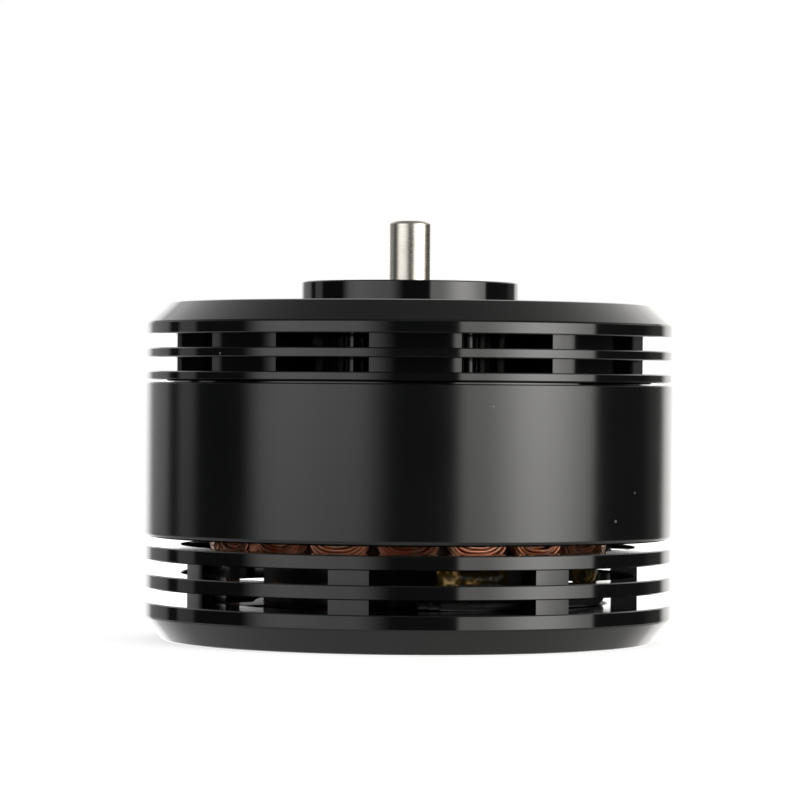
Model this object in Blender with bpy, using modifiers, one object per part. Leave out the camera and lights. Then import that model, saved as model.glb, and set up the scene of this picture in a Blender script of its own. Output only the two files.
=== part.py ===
"""Outrunner brushless motor for a large multirotor.

Lengths are in metres, +Z runs up the shaft, and the origin lies on the shaft's axis at the mounting face.
Angles are counted from the front (-Y) towards +X. The base, bearings, core and coils stay still, and
the bell, the flux ring with its magnets and the shaft turn about +Z.
"""

import math

import bmesh
import bpy
from mathutils import Matrix, Vector

# Fits and facets
LARGE_SIDES = 48
HUB_SIDES = 24
SMALL_SIDES = 16
HOLE_SIDES = 8
POCKET_SIDES = 6
BALL_SIDES = 6
BALL_ROWS = 4
ARC_STEP = math.radians(15)
CORNER_STEP = math.radians(30)
SLOT_END_STEP = math.radians(60)
SHARP_ANGLE = math.radians(30)
FIT_GAP = 0.0003
JOIN_OVERLAP = 0.0003
CUT_MARGIN = 0.002
WELD_DISTANCE = 1e-7
FLAT_ANGLE = math.radians(0.1)

# Base: foot plate, two fins and the pillars between them
PLATE_HEIGHT = 0.00453
FOOT_CHAMFER_WIDTH = 0.0022
FOOT_CHAMFER_HEIGHT = 0.0028
BASE_GROOVE_HEIGHT = 0.00166
BASE_FIN_THICKNESS = 0.00168
BASE_FIN_COUNT = 2
BASE_GROOVE_DEPTH = 0.0041
BASE_PILLAR_COUNT = 7
BASE_PILLAR_START = math.radians(-14.3)
BASE_PILLAR_SPAN = math.radians(10)
VENT_MARGIN = 0.0012
VENT_WIDTH = 0.0052
SPOKE_SPAN = math.radians(17)
MOUNT_HOLE_COUNT = 4
MOUNT_HOLE_CIRCLE_RADIUS = 0.0125
MOUNT_HOLE_RADIUS = 0.0015
MOUNT_HOLE_DEPTH = 0.006
HUB_PAD_MARGIN = 0.0032
HUB_PAD_HEIGHT = 0.0044
LEAD_EXIT_WIDTH = 0.009
LEAD_EXIT_DEPTH = 0.0012
LEAD_EXIT_CORNER = 0.0018

# Bearings
SHAFT_RADIUS = 0.0025
INNER_RING_WALL = 0.0015
OUTER_RING_WALL = 0.0017
BALL_COUNT = 7
BALL_RADIUS = 0.0011
RACE_DEPTH = 0.0004
SHIELD_THICKNESS = 0.0004
SHIELD_INSET = 0.00015
CAGE_WALL = 0.00025
TUBE_WALL = 0.0024
TUBE_SHOULDER_HEIGHT = 0.0014

# Shaft and what holds it
SHAFT_END_HEIGHT = 0.0005
SHAFT_CHAMFER = 0.0003
SHAFT_STANDS_OUT = 0.00735
CLIP_LAND = 0.0007
CLIP_GROOVE_DEPTH = 0.0005
CLIP_THICKNESS = 0.0006
CLIP_WIDTH = 0.0019
CLIP_MOUTH = math.radians(80)
WASHER_THICKNESS = 0.0006
SHIM_THICKNESS = 0.0005

# Core and coils
TOOTH_COUNT = 18
CORE_RADIUS = 0.026
CORE_HEIGHT = 0.015
YOKE_RADIUS = 0.016
CORE_SEAT_WIDTH = 0.0045
TOOTH_WIDTH = 0.003
SLOT_MOUTH = 0.0012
SHOE_EDGE = 0.001
SHOE_HEIGHT = 0.0016
COIL_TO_SHOE = 0.0004
COIL_SPACING = 0.0006
COIL_EDGE = 0.0009
TOP_END_TURN = 0.00235
LEAD_END_TURN = 0.0038
YOKE_END_TURN_SHARE = 0.47
WRAP_RADIUS = 0.0016
WRAP_TO_PILLAR = 0.0012
WRAP_COUNT = 3
WRAP_START = math.radians(19.5)
WRAP_STEP = math.radians(60)
WRAP_SPAN = math.radians(22)

# Flux ring and magnets
RING_ABOVE_BASE = 0.001
RING_WALL = 0.0024
RING_EDGE = 0.0006
MAGNET_COUNT = 24
MAGNET_THICKNESS = 0.0026
MAGNET_SPACING = 0.00037
MAGNET_INSET = 0.001125
MAGNET_OVERHANG = 0.0005
AIR_GAP = 0.0005

# Bell cap: seat fin, one free fin, top disc with a chamfer, and a raised boss
SEAT_FIN_THICKNESS = 0.001
SPIGOT_WALL = 0.0022
CAP_GROOVE_HEIGHT = 0.00161
CAP_FIN_THICKNESS = 0.00113
CAP_FIN_COUNT = 1
CAP_GROOVE_DEPTH = 0.0035
CAP_PILLAR_COUNT = 8
CAP_PILLAR_START = math.radians(1.3)
CAP_PILLAR_SPAN = math.radians(21.5)
CAP_PILLAR_TO_COIL = 0.0006
TOP_DISC_HEIGHT = 0.00386
TOP_DISC_THICKNESS = 0.003
CAP_CHAMFER_WIDTH = 0.0026
CAP_CHAMFER_HEIGHT = 0.00242
BOSS_MARGIN = 0.00205
BOSS_HEIGHT = 0.0026
HUB_RADIUS = 0.0125
HUB_NOSE_LENGTH = 0.0005
RIB_THICKNESS = 0.003
RIB_CORNER = 0.002
RIB_ABOVE_COILS = 0.0005
INTAKE_MARGIN = 0.00245
INTAKE_WIDTH = 0.006
CAP_SPOKE_SPAN = math.radians(15.5)
ADAPTER_HOLE_COUNT = 4
ADAPTER_HOLE_CIRCLE_RADIUS = 0.0095
ADAPTER_HOLE_RADIUS = 0.0015
ADAPTER_HOLE_DEPTH = 0.0045

# Bearing sizes that follow from the shaft, the balls and the walls
shaft_bore = SHAFT_RADIUS + FIT_GAP
inner_land = shaft_bore + INNER_RING_WALL
inner_race = inner_land - RACE_DEPTH
ball_circle_radius = inner_race + FIT_GAP + BALL_RADIUS
outer_race = ball_circle_radius + BALL_RADIUS + FIT_GAP
outer_land = outer_race - RACE_DEPTH
bearing_radius = outer_land + OUTER_RING_WALL
half_cage = BALL_RADIUS + FIT_GAP + CAGE_WALL
bearing_width = 2 * (half_cage + FIT_GAP + SHIELD_THICKNESS + SHIELD_INSET)

# Heights that follow from the sizes, bottom to top
base_top = PLATE_HEIGHT + BASE_FIN_COUNT * (BASE_GROOVE_HEIGHT + BASE_FIN_THICKNESS)
ring_bottom = base_top + RING_ABOVE_BASE
magnet_bottom = ring_bottom + MAGNET_INSET
core_bottom = magnet_bottom + MAGNET_OVERHANG
core_top = core_bottom + CORE_HEIGHT
magnet_top = core_top + MAGNET_OVERHANG
ring_top = magnet_top + MAGNET_INSET
coil_top = core_top + FIT_GAP + TOP_END_TURN
tube_top = coil_top
upper_bearing_bottom = tube_top - bearing_width
clip_groove_bottom = SHAFT_END_HEIGHT + CLIP_LAND
clip_bottom = clip_groove_bottom + FIT_GAP
washer_bottom = clip_bottom + CLIP_THICKNESS + FIT_GAP
lower_bearing_bottom = washer_bottom + WASHER_THICKNESS + FIT_GAP
shim_bottom = tube_top + FIT_GAP
nose_bottom = shim_bottom + SHIM_THICKNESS + FIT_GAP
seat_bottom = ring_top + FIT_GAP
seat_top = seat_bottom + SEAT_FIN_THICKNESS
disc_bottom = seat_top + CAP_FIN_COUNT * (CAP_GROOVE_HEIGHT + CAP_FIN_THICKNESS) + CAP_GROOVE_HEIGHT
cap_top = disc_bottom + TOP_DISC_HEIGHT
boss_top = cap_top + BOSS_HEIGHT
shaft_top = boss_top + SHAFT_STANDS_OUT

# Radii that follow from the sizes
magnet_inner = CORE_RADIUS + AIR_GAP
ring_inner = magnet_inner + MAGNET_THICKNESS
body_radius = ring_inner + RING_WALL
base_groove_radius = body_radius - BASE_GROOVE_DEPTH
cap_groove_radius = body_radius - CAP_GROOVE_DEPTH
coil_inner = YOKE_RADIUS + FIT_GAP
coil_outer = CORE_RADIUS - SHOE_HEIGHT - COIL_TO_SHOE
coil_shoulder = coil_outer - COIL_EDGE
base_pillar_inner = coil_outer + FIT_GAP
cap_pillar_inner = coil_outer + CAP_PILLAR_TO_COIL
hub_pad_radius = MOUNT_HOLE_CIRCLE_RADIUS + MOUNT_HOLE_RADIUS + HUB_PAD_MARGIN
boss_radius = ADAPTER_HOLE_CIRCLE_RADIUS + ADAPTER_HOLE_RADIUS + BOSS_MARGIN
bearing_bore = bearing_radius + FIT_GAP
tube_radius = bearing_bore + TUBE_WALL


def fresh_collection(name):
    """A new collection in the scene."""
    made = bpy.data.collections.new(name)
    bpy.context.scene.collection.children.link(made)
    return made


for old in list(bpy.data.objects):
    bpy.data.objects.remove(old)
parts = fresh_collection("brushless_motor")
cutters = fresh_collection("cutters")


def finish(name, colour, roughness, metallic):
    """A plain material of one colour."""
    made = bpy.data.materials.new(name)
    made.use_nodes = True
    shader = made.node_tree.nodes["Principled BSDF"]
    shader.inputs["Base Color"].default_value = (*colour, 1)
    shader.inputs["Roughness"].default_value = roughness
    shader.inputs["Metallic"].default_value = metallic
    return made


# Shapes

def on_circle(radius, angle, height=0.0):
    """A point at this angle from the front (-Y), counted towards +X."""
    return Vector((radius * math.sin(angle), -radius * math.cos(angle), height))


def arc_angles(start, end, step=ARC_STEP):
    """Evenly spaced angles from start to end, no further apart than step."""
    count = max(1, math.ceil(abs(end - start) / step))
    return [start + (end - start) * i / count for i in range(count + 1)]


def new_object(name, data, collection=None):
    made = bpy.data.objects.new(name, data)
    (collection or cutters).objects.link(made)
    return made


def baked(obj, name):
    """The object's evaluated shape as a plain mesh object. The source goes.

    Loose caps are welded, and faces that lie in one plane are merged.
    """
    bpy.context.view_layer.update()
    graph = bpy.context.evaluated_depsgraph_get()
    mesh = bpy.data.meshes.new_from_object(obj.evaluated_get(graph))
    shape = bmesh.new()
    shape.from_mesh(mesh)
    bmesh.ops.remove_doubles(shape, verts=shape.verts, dist=WELD_DISTANCE)
    bmesh.ops.dissolve_limit(shape, angle_limit=FLAT_ANGLE, verts=shape.verts, edges=shape.edges)
    bmesh.ops.recalc_face_normals(shape, faces=shape.faces)
    shape.to_mesh(mesh)
    shape.free()
    made = new_object(name, mesh)
    made.matrix_world = obj.matrix_world
    bpy.data.objects.remove(obj)
    return made


def turned(name, outline, sides=LARGE_SIDES):
    """A profile of (radius, height) points, closed or ending on the axis, turned about Z."""
    count = len(outline)
    area = sum(
        outline[i][0] * outline[(i + 1) % count][1] - outline[(i + 1) % count][0] * outline[i][1]
        for i in range(count)
    )
    points = outline if area < 0 else outline[::-1]
    on_axis = [i for i in range(count) if points[i][0] == 0]
    if on_axis:
        first = next(i for i in on_axis if points[(i + 1) % count][0] > 0)
        points = points[first:] + points[:first]
    edges = [(i, i + 1) for i in range(count - 1)]
    if not on_axis:
        edges.append((count - 1, 0))
    mesh = bpy.data.meshes.new(name)
    mesh.from_pydata([(r, 0, z) for r, z in points], edges, [])
    made = new_object(name, mesh)
    screw = made.modifiers.new("Turn", "SCREW")
    screw.axis = "Z"
    screw.steps = sides
    screw.render_steps = sides
    screw.use_merge_vertices = True
    screw.merge_threshold = WELD_DISTANCE
    return baked(made, name)


def plate(name, outlines, bottom, top):
    """Flat outlines (the later ones are holes) extruded along Z."""
    curve = bpy.data.curves.new(name, "CURVE")
    curve.dimensions = "2D"
    curve.fill_mode = "BOTH"
    curve.extrude = (top - bottom) / 2
    for outline in outlines:
        spline = curve.splines.new("POLY")
        spline.points.add(len(outline) - 1)
        spline.use_cyclic_u = True
        for point, (x, y) in zip(spline.points, outline):
            point.co = (x, y, 0, 1)
    made = new_object(name, curve)
    made.location.z = (bottom + top) / 2
    return baked(made, name)


def sector(name, inner, outer, middle, span, bottom, top, step=ARC_STEP):
    """A block between two radii and two angles."""
    angles = arc_angles(middle - span / 2, middle + span / 2, step)
    rim = [on_circle(outer, a).xy for a in angles]
    rim += [on_circle(inner, a).xy for a in reversed(angles)]
    return plate(name, [rim], bottom, top)


def arc_slot(name, inner, width, middle, span, bottom, top):
    """A slot that follows an arc and has round ends. Its span counts the ends."""
    centre = inner + width / 2
    end_span = span / 2 - math.asin(width / 2 / centre)
    half_turn = arc_angles(0, math.pi, SLOT_END_STEP)
    rim = [on_circle(inner + width, middle + a).xy for a in arc_angles(-end_span, end_span)]
    for side in (1, -1):
        hub = on_circle(centre, middle + side * end_span)
        out = on_circle(1, middle + side * end_span)
        along = Vector((-out.y, out.x, 0))
        for turn in half_turn[1:-1]:
            reach = out * math.cos(turn) + along * math.sin(turn)
            rim.append((hub + reach * side * width / 2).xy)
        if side == 1:
            rim += [on_circle(inner, middle - a).xy for a in arc_angles(-end_span, end_span)]
    return plate(name, [rim], bottom, top)


def cylinder(name, radius, bottom, top, sides=HOLE_SIDES):
    shape = bmesh.new()
    bmesh.ops.create_cone(
        shape, cap_ends=True, segments=sides, radius1=radius, radius2=radius, depth=top - bottom
    )
    bmesh.ops.translate(shape, verts=shape.verts, vec=(0, 0, (bottom + top) / 2))
    mesh = bpy.data.meshes.new(name)
    shape.to_mesh(mesh)
    shape.free()
    return new_object(name, mesh)


def box(name, low, high):
    shape = bmesh.new()
    bmesh.ops.create_cube(shape, size=1)
    low = Vector(low)
    high = Vector(high)
    stretch = Matrix.Diagonal((*(high - low), 1))
    shift = Matrix.Translation((low + high) / 2)
    bmesh.ops.transform(shape, verts=shape.verts, matrix=shift @ stretch)
    mesh = bpy.data.meshes.new(name)
    shape.to_mesh(mesh)
    shape.free()
    return new_object(name, mesh)


def lofted(name, sections):
    """A closed solid through rings of points, each ring with as many points as the next."""
    shape = bmesh.new()
    rings = [[shape.verts.new(point) for point in ring] for ring in sections]
    for ring, following in zip(rings, rings[1:]):
        for i in range(len(ring)):
            j = (i + 1) % len(ring)
            shape.faces.new((ring[i], ring[j], following[j], following[i]))
    shape.faces.new(rings[0])
    shape.faces.new(rings[-1])
    bmesh.ops.recalc_face_normals(shape, faces=shape.faces)
    mesh = bpy.data.meshes.new(name)
    shape.to_mesh(mesh)
    shape.free()
    return new_object(name, mesh)


def tube(name, points, radius):
    """A round bar with flat ends along the points."""
    curve = bpy.data.curves.new(name, "CURVE")
    curve.dimensions = "3D"
    curve.bevel_depth = radius
    curve.bevel_resolution = 2
    curve.use_fill_caps = True
    spline = curve.splines.new("POLY")
    spline.points.add(len(points) - 1)
    for point, place in zip(spline.points, points):
        point.co = (*place, 1)
    return baked(new_object(name, curve), name)


def turn(obj, angle):
    """Turns a shape that was made at the front round the motor's axis."""
    obj.data.transform(Matrix.Rotation(angle, 4, "Z"))
    return obj


def boolean(body, others, operation):
    """The body joined with, or cut by, the other shapes, which stay as wire helpers."""
    for other in others:
        step = body.modifiers.new(other.name, "BOOLEAN")
        step.operation = operation
        step.solver = "EXACT"
        step.object = other
        other.hide_render = True
        other.display_type = "WIRE"
    return baked(body, body.name)


def place(obj, name, material):
    """Makes a finished shape one of the motor's parts, shaded smooth between its sharp edges."""
    obj.name = name
    obj.data.name = name
    obj.data.materials.clear()
    obj.data.materials.append(material)
    obj.data.shade_smooth()
    obj.data.set_sharp_from_angle(angle=SHARP_ANGLE)
    cutters.objects.unlink(obj)
    parts.objects.link(obj)
    return obj


# Materials

black_anodised = finish("black_anodised", (0.012, 0.012, 0.013), 0.22, 0.0)
black_ring = finish("black_ring", (0.013, 0.013, 0.014), 0.3, 0.0)
polished_steel = finish("polished_steel", (0.62, 0.6, 0.57), 0.12, 1.0)
bearing_steel = finish("bearing_steel", (0.5, 0.5, 0.5), 0.2, 1.0)
spring_steel = finish("spring_steel", (0.12, 0.12, 0.13), 0.35, 1.0)
copper_wire = finish("copper_wire", (0.72, 0.25, 0.1), 0.35, 1.0)
coated_core = finish("coated_core", (0.02, 0.11, 0.1), 0.4, 0.0)
yellow_tape = finish("yellow_tape", (0.7, 0.36, 0.02), 0.25, 0.0)


# Base

def make_base():
    """The one-piece base: foot plate, fins, pillars, hub pad and bearing tube."""
    bore_step = lower_bearing_bottom + bearing_width + FIT_GAP
    upper_seat = upper_bearing_bottom - FIT_GAP
    shoulder_bore = bearing_bore - TUBE_SHOULDER_HEIGHT
    core_seat = core_bottom - FIT_GAP
    pad_top = PLATE_HEIGHT + HUB_PAD_HEIGHT
    foot = turned("foot", [
        (hub_pad_radius - JOIN_OVERLAP, 0),
        (body_radius - FOOT_CHAMFER_WIDTH, 0),
        (body_radius, FOOT_CHAMFER_HEIGHT),
        (body_radius, PLATE_HEIGHT),
        (hub_pad_radius - JOIN_OVERLAP, PLATE_HEIGHT),
    ])
    hub = turned("bearing_tube", [
        (bearing_bore, 0),
        (hub_pad_radius, 0),
        (hub_pad_radius, pad_top),
        (tube_radius + CORE_SEAT_WIDTH, pad_top),
        (tube_radius + CORE_SEAT_WIDTH, core_seat),
        (tube_radius, core_seat),
        (tube_radius, tube_top),
        (bearing_bore, tube_top),
        (bearing_bore, upper_seat),
        (shoulder_bore, upper_seat),
        (shoulder_bore, bore_step),
        (bearing_bore, bore_step),
    ], HUB_SIDES)
    body = boolean(foot, [hub], "UNION")
    fin_inner = base_groove_radius - JOIN_OVERLAP
    joined = []
    for i in range(BASE_FIN_COUNT):
        bottom = PLATE_HEIGHT + (i + 1) * BASE_GROOVE_HEIGHT + i * BASE_FIN_THICKNESS
        top = bottom + BASE_FIN_THICKNESS
        joined.append(turned(f"base_fin_{i + 1}", [
            (fin_inner, bottom), (body_radius, bottom), (body_radius, top), (fin_inner, top)
        ]))
    pitch = math.tau / BASE_PILLAR_COUNT
    pillars = []
    for i in range(BASE_PILLAR_COUNT):
        pillars.append(sector(
            f"base_pillar_{i + 1}", base_pillar_inner, base_groove_radius,
            BASE_PILLAR_START + i * pitch, BASE_PILLAR_SPAN,
            PLATE_HEIGHT - JOIN_OVERLAP, base_top - JOIN_OVERLAP,
        ))
    body = boolean(body, pillars, "UNION")
    body = boolean(body, joined, "UNION")
    cuts = []
    for i in range(BASE_PILLAR_COUNT):
        cuts.append(arc_slot(
            f"plate_vent_{i + 1}", hub_pad_radius + VENT_MARGIN, VENT_WIDTH,
            BASE_PILLAR_START + (i + 0.5) * pitch, pitch - SPOKE_SPAN,
            -CUT_MARGIN, PLATE_HEIGHT + CUT_MARGIN,
        ))
    for i in range(MOUNT_HOLE_COUNT):
        hole = cylinder(f"mount_hole_{i + 1}", MOUNT_HOLE_RADIUS, -CUT_MARGIN, MOUNT_HOLE_DEPTH)
        hole.data.transform(Matrix.Translation((MOUNT_HOLE_CIRCLE_RADIUS, 0, 0)))
        cuts.append(turn(hole, (i + 0.5) * math.tau / MOUNT_HOLE_COUNT))
    cuts.append(make_lead_exit(pitch))
    return place(boolean(body, cuts, "DIFFERENCE"), "base", black_anodised)


def make_lead_exit(pitch):
    """The notch through the fins that the three phase leads leave by, between two rear pillars."""
    half = LEAD_EXIT_WIDTH / 2
    round_by = LEAD_EXIT_CORNER
    low = PLATE_HEIGHT - LEAD_EXIT_DEPTH
    high = base_top + CUT_MARGIN
    right = []
    for angle in arc_angles(0, math.pi / 2, CORNER_STEP):
        across = half - round_by + round_by * math.sin(angle)
        right.append((across, low + round_by - round_by * math.cos(angle)))
    left = [(-x, y) for x, y in reversed(right)]
    outline = right + [(half, high), (-half, high)] + left
    notch = plate("lead_exit", [outline], base_pillar_inner, body_radius + CUT_MARGIN)
    stand_up = Matrix.Rotation(math.pi / 2, 4, "X")
    notch.data.transform(stand_up @ Matrix.Translation((0, 0, notch.location.z)))
    notch.location.z = 0
    rear_gap = BASE_PILLAR_START + (BASE_PILLAR_COUNT // 2 + 0.5) * pitch
    return turn(notch, rear_gap)


# Core and coils

def make_core():
    """The laminated core: a yoke with a shoe on the end of each tooth."""
    half_tooth = TOOTH_WIDTH / 2
    half_shoe = math.pi * CORE_RADIUS / TOOTH_COUNT - SLOT_MOUTH / 2
    side = [
        (math.sqrt(YOKE_RADIUS**2 - half_tooth**2), half_tooth),
        (CORE_RADIUS - SHOE_HEIGHT, half_tooth),
        (CORE_RADIUS - SHOE_EDGE, half_shoe),
        (math.sqrt(CORE_RADIUS**2 - half_shoe**2), half_shoe),
    ]
    tooth = [(r, -w) for r, w in side] + side[::-1]
    rim = []
    for i in range(TOOTH_COUNT):
        angle = i * math.tau / TOOTH_COUNT
        out = on_circle(1, angle)
        along = Vector((-out.y, out.x, 0))
        rim += [(out * r + along * w).xy for r, w in tooth]
    bore_angles = arc_angles(0, math.tau, math.tau / HUB_SIDES)[:-1]
    bore = [on_circle(tube_radius + FIT_GAP, angle).xy for angle in bore_angles]
    return place(plate("stator_core", [rim, bore], core_bottom, core_top), "stator_core", coated_core)


def end_turn(radius, tallest):
    """How far the end turns stand past the core's insulation at a radius.

    They grow from the yoke to the shoulder near the shoe and round off after it.
    """
    yoke = tallest * YOKE_END_TURN_SHARE
    way = min(1, (radius - coil_inner) / (coil_shoulder - coil_inner))
    return yoke + (tallest - yoke) * way - max(0, radius - coil_shoulder)


def coil_shape():
    """One winding round the tooth that points to the front. The lead side has the taller end turns."""
    hole_bottom = core_bottom - FIT_GAP
    hole_top = core_top + FIT_GAP
    sections = []
    half_pitch = math.tan(math.pi / TOOTH_COUNT)
    for radius in (coil_inner, coil_shoulder, coil_outer):
        half = min(radius, coil_shoulder) * half_pitch - COIL_SPACING / 2
        low = hole_bottom - end_turn(radius, LEAD_END_TURN)
        high = hole_top + end_turn(radius, TOP_END_TURN)
        right = [
            (half - COIL_EDGE, low), (half, low + COIL_EDGE),
            (half, high - COIL_EDGE), (half - COIL_EDGE, high),
        ]
        ring = right + [(-x, z) for x, z in reversed(right)]
        sections.append([(x, -radius, z) for x, z in ring])
    winding = lofted("coil", sections)
    half_hole = TOOTH_WIDTH / 2 + FIT_GAP
    hole = box(
        "coil_hole",
        (-half_hole, -coil_outer - CUT_MARGIN, hole_bottom),
        (half_hole, -coil_inner + CUT_MARGIN, hole_top),
    )
    return boolean(winding, [hole], "DIFFERENCE")


def make_coils():
    """A coil on each tooth. All share one mesh."""
    first = place(coil_shape(), "coil_01", copper_wire)
    for i in range(1, TOOTH_COUNT):
        coil = new_object(f"coil_{i + 1:02}", first.data, parts)
        coil.rotation_euler.z = i * math.tau / TOOTH_COUNT


def make_wraps():
    """The taped joints between the windings and the phase leads, tucked up under the end turns.

    They follow each other on one side, on their way to the lead exit at the rear.
    """
    circle = base_pillar_inner - WRAP_TO_PILLAR - WRAP_RADIUS
    slope = math.atan2(LEAD_END_TURN * (1 - YOKE_END_TURN_SHARE), coil_shoulder - coil_inner)
    underside = core_bottom - FIT_GAP - end_turn(circle, LEAD_END_TURN)
    height = underside - (WRAP_RADIUS + FIT_GAP) / math.cos(slope)
    for i in range(WRAP_COUNT):
        middle = WRAP_START + i * WRAP_STEP
        angles = arc_angles(middle - WRAP_SPAN / 2, middle + WRAP_SPAN / 2)
        path = [on_circle(circle, a, height) for a in angles]
        place(tube(f"wrap_{i + 1}", path, WRAP_RADIUS), f"lead_joint_wrap_{i + 1}", yellow_tape)


# Bearings

def between_lands(name, bottom, top, sides):
    """A plain ring that fills the space between a bearing's two rings, less the gaps."""
    inner = inner_land + FIT_GAP
    outer = outer_land - FIT_GAP
    return turned(name, [(inner, bottom), (outer, bottom), (outer, top), (inner, top)], sides)


def make_bearing(name, bottom):
    """Rings, shields, cage and balls of one deep-groove bearing."""
    top = bottom + bearing_width
    middle = (bottom + top) / 2
    race_bottom = middle - BALL_RADIUS
    race_top = middle + BALL_RADIUS
    outer = turned(f"{name}_outer", [
        (outer_land, bottom), (bearing_radius, bottom), (bearing_radius, top), (outer_land, top),
        (outer_land, race_top), (outer_race, middle), (outer_land, race_bottom),
    ], SMALL_SIDES)
    place(outer, f"{name}_outer_ring", bearing_steel)
    inner = turned(f"{name}_inner", [
        (shaft_bore, bottom), (inner_land, bottom), (inner_land, race_bottom),
        (inner_race, middle), (inner_land, race_top), (inner_land, top), (shaft_bore, top),
    ], SMALL_SIDES)
    place(inner, f"{name}_inner_ring", bearing_steel)
    low_shield = bottom + SHIELD_INSET
    high_shield = top - SHIELD_INSET - SHIELD_THICKNESS
    for side, face in (("lower", low_shield), ("upper", high_shield)):
        shield = between_lands(f"{name}_{side}", face, face + SHIELD_THICKNESS, SMALL_SIDES)
        place(shield, f"{name}_{side}_shield", bearing_steel)
    cage = between_lands(f"{name}_cage_blank", middle - half_cage, middle + half_cage, BALL_COUNT * 2)
    pockets = []
    for i in range(BALL_COUNT):
        angle = i * math.tau / BALL_COUNT
        pocket = cylinder(
            f"{name}_pocket_{i + 1}", BALL_RADIUS + FIT_GAP, 0, bearing_radius, POCKET_SIDES
        )
        pocket.data.transform(Matrix.Rotation(math.pi / 2, 4, "X"))
        pocket.data.transform(Matrix.Translation((0, 0, middle)))
        pockets.append(turn(pocket, angle))
        ball = new_object(f"{name}_ball_{i + 1}", ball_mesh, parts)
        ball.location = on_circle(ball_circle_radius, angle, middle)
    place(boolean(cage, pockets, "DIFFERENCE"), f"{name}_cage", bearing_steel)


def make_ball_mesh():
    """The mesh that all the balls share."""
    shape = bmesh.new()
    bmesh.ops.create_uvsphere(shape, u_segments=BALL_SIDES, v_segments=BALL_ROWS, radius=BALL_RADIUS)
    mesh = bpy.data.meshes.new("ball")
    shape.to_mesh(mesh)
    shape.free()
    mesh.shade_smooth()
    mesh.materials.append(polished_steel)
    return mesh


# Shaft, washer, clip and shim

def make_shaft():
    """The shaft, with a chamfer at each end and a groove for the clip."""
    groove = SHAFT_RADIUS - CLIP_GROOVE_DEPTH
    groove_top = clip_bottom + CLIP_THICKNESS + FIT_GAP
    end = SHAFT_END_HEIGHT
    end_radius = SHAFT_RADIUS - SHAFT_CHAMFER
    shaft = turned("shaft", [
        (0, end), (end_radius, end), (SHAFT_RADIUS, end + SHAFT_CHAMFER),
        (SHAFT_RADIUS, clip_groove_bottom), (groove, clip_groove_bottom),
        (groove, groove_top), (SHAFT_RADIUS, groove_top),
        (SHAFT_RADIUS, shaft_top - SHAFT_CHAMFER), (end_radius, shaft_top), (0, shaft_top),
    ], SMALL_SIDES)
    place(shaft, "shaft", polished_steel)
    washer = turned("washer", [
        (shaft_bore, washer_bottom), (inner_land, washer_bottom),
        (inner_land, washer_bottom + WASHER_THICKNESS),
        (shaft_bore, washer_bottom + WASHER_THICKNESS),
    ], SMALL_SIDES)
    place(washer, "thrust_washer", spring_steel)
    shim = turned("shim", [
        (shaft_bore, shim_bottom), (inner_land, shim_bottom),
        (inner_land, shim_bottom + SHIM_THICKNESS), (shaft_bore, shim_bottom + SHIM_THICKNESS),
    ], SMALL_SIDES)
    place(shim, "bell_shim", spring_steel)
    clip_inner = groove + FIT_GAP
    clip = sector(
        "clip", clip_inner, clip_inner + CLIP_WIDTH, 0, math.tau - CLIP_MOUTH,
        clip_bottom, clip_bottom + CLIP_THICKNESS, CORNER_STEP,
    )
    place(clip, "retaining_clip", spring_steel)


# Rotor

def make_flux_ring():
    """The steel ring, with a row of flat magnets bonded to its inside."""
    ring = turned("ring", [
        (ring_inner, ring_bottom), (body_radius - RING_EDGE, ring_bottom),
        (body_radius, ring_bottom + RING_EDGE), (body_radius, ring_top), (ring_inner, ring_top),
    ])
    half_width = magnet_inner * math.tan(math.pi / MAGNET_COUNT) - MAGNET_SPACING / 2
    magnets = []
    for i in range(MAGNET_COUNT):
        magnet = box(
            f"magnet_{i + 1}",
            (-half_width, -ring_inner - JOIN_OVERLAP, magnet_bottom),
            (half_width, -magnet_inner, magnet_top),
        )
        magnets.append(turn(magnet, (i + 0.5) * math.tau / MAGNET_COUNT))
    return place(boolean(ring, magnets, "UNION"), "flux_ring", black_ring)


def rib_outline():
    """The rib that points to the front, seen from above.

    The pockets beside it are milled, so it meets the hub and its pillar in round corners.
    """
    wide = RIB_THICKNESS / 2 + RIB_CORNER
    root = math.sqrt(HUB_RADIUS**2 - wide**2)
    tip = math.sqrt(cap_pillar_inner**2 - wide**2)
    quarter = arc_angles(0, math.pi / 2, CORNER_STEP)
    right = [(wide, root - JOIN_OVERLAP)]
    right += [
        (wide - RIB_CORNER * math.sin(a), root + RIB_CORNER * (1 - math.cos(a))) for a in quarter
    ]
    right += [
        (wide - RIB_CORNER * math.sin(a), tip - RIB_CORNER * (1 - math.cos(a)))
        for a in reversed(quarter)
    ]
    right.append((wide, cap_pillar_inner + 2 * JOIN_OVERLAP))
    rim = right + [(-x, reach) for x, reach in reversed(right)]
    return [(x, -reach) for x, reach in rim]


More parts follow.
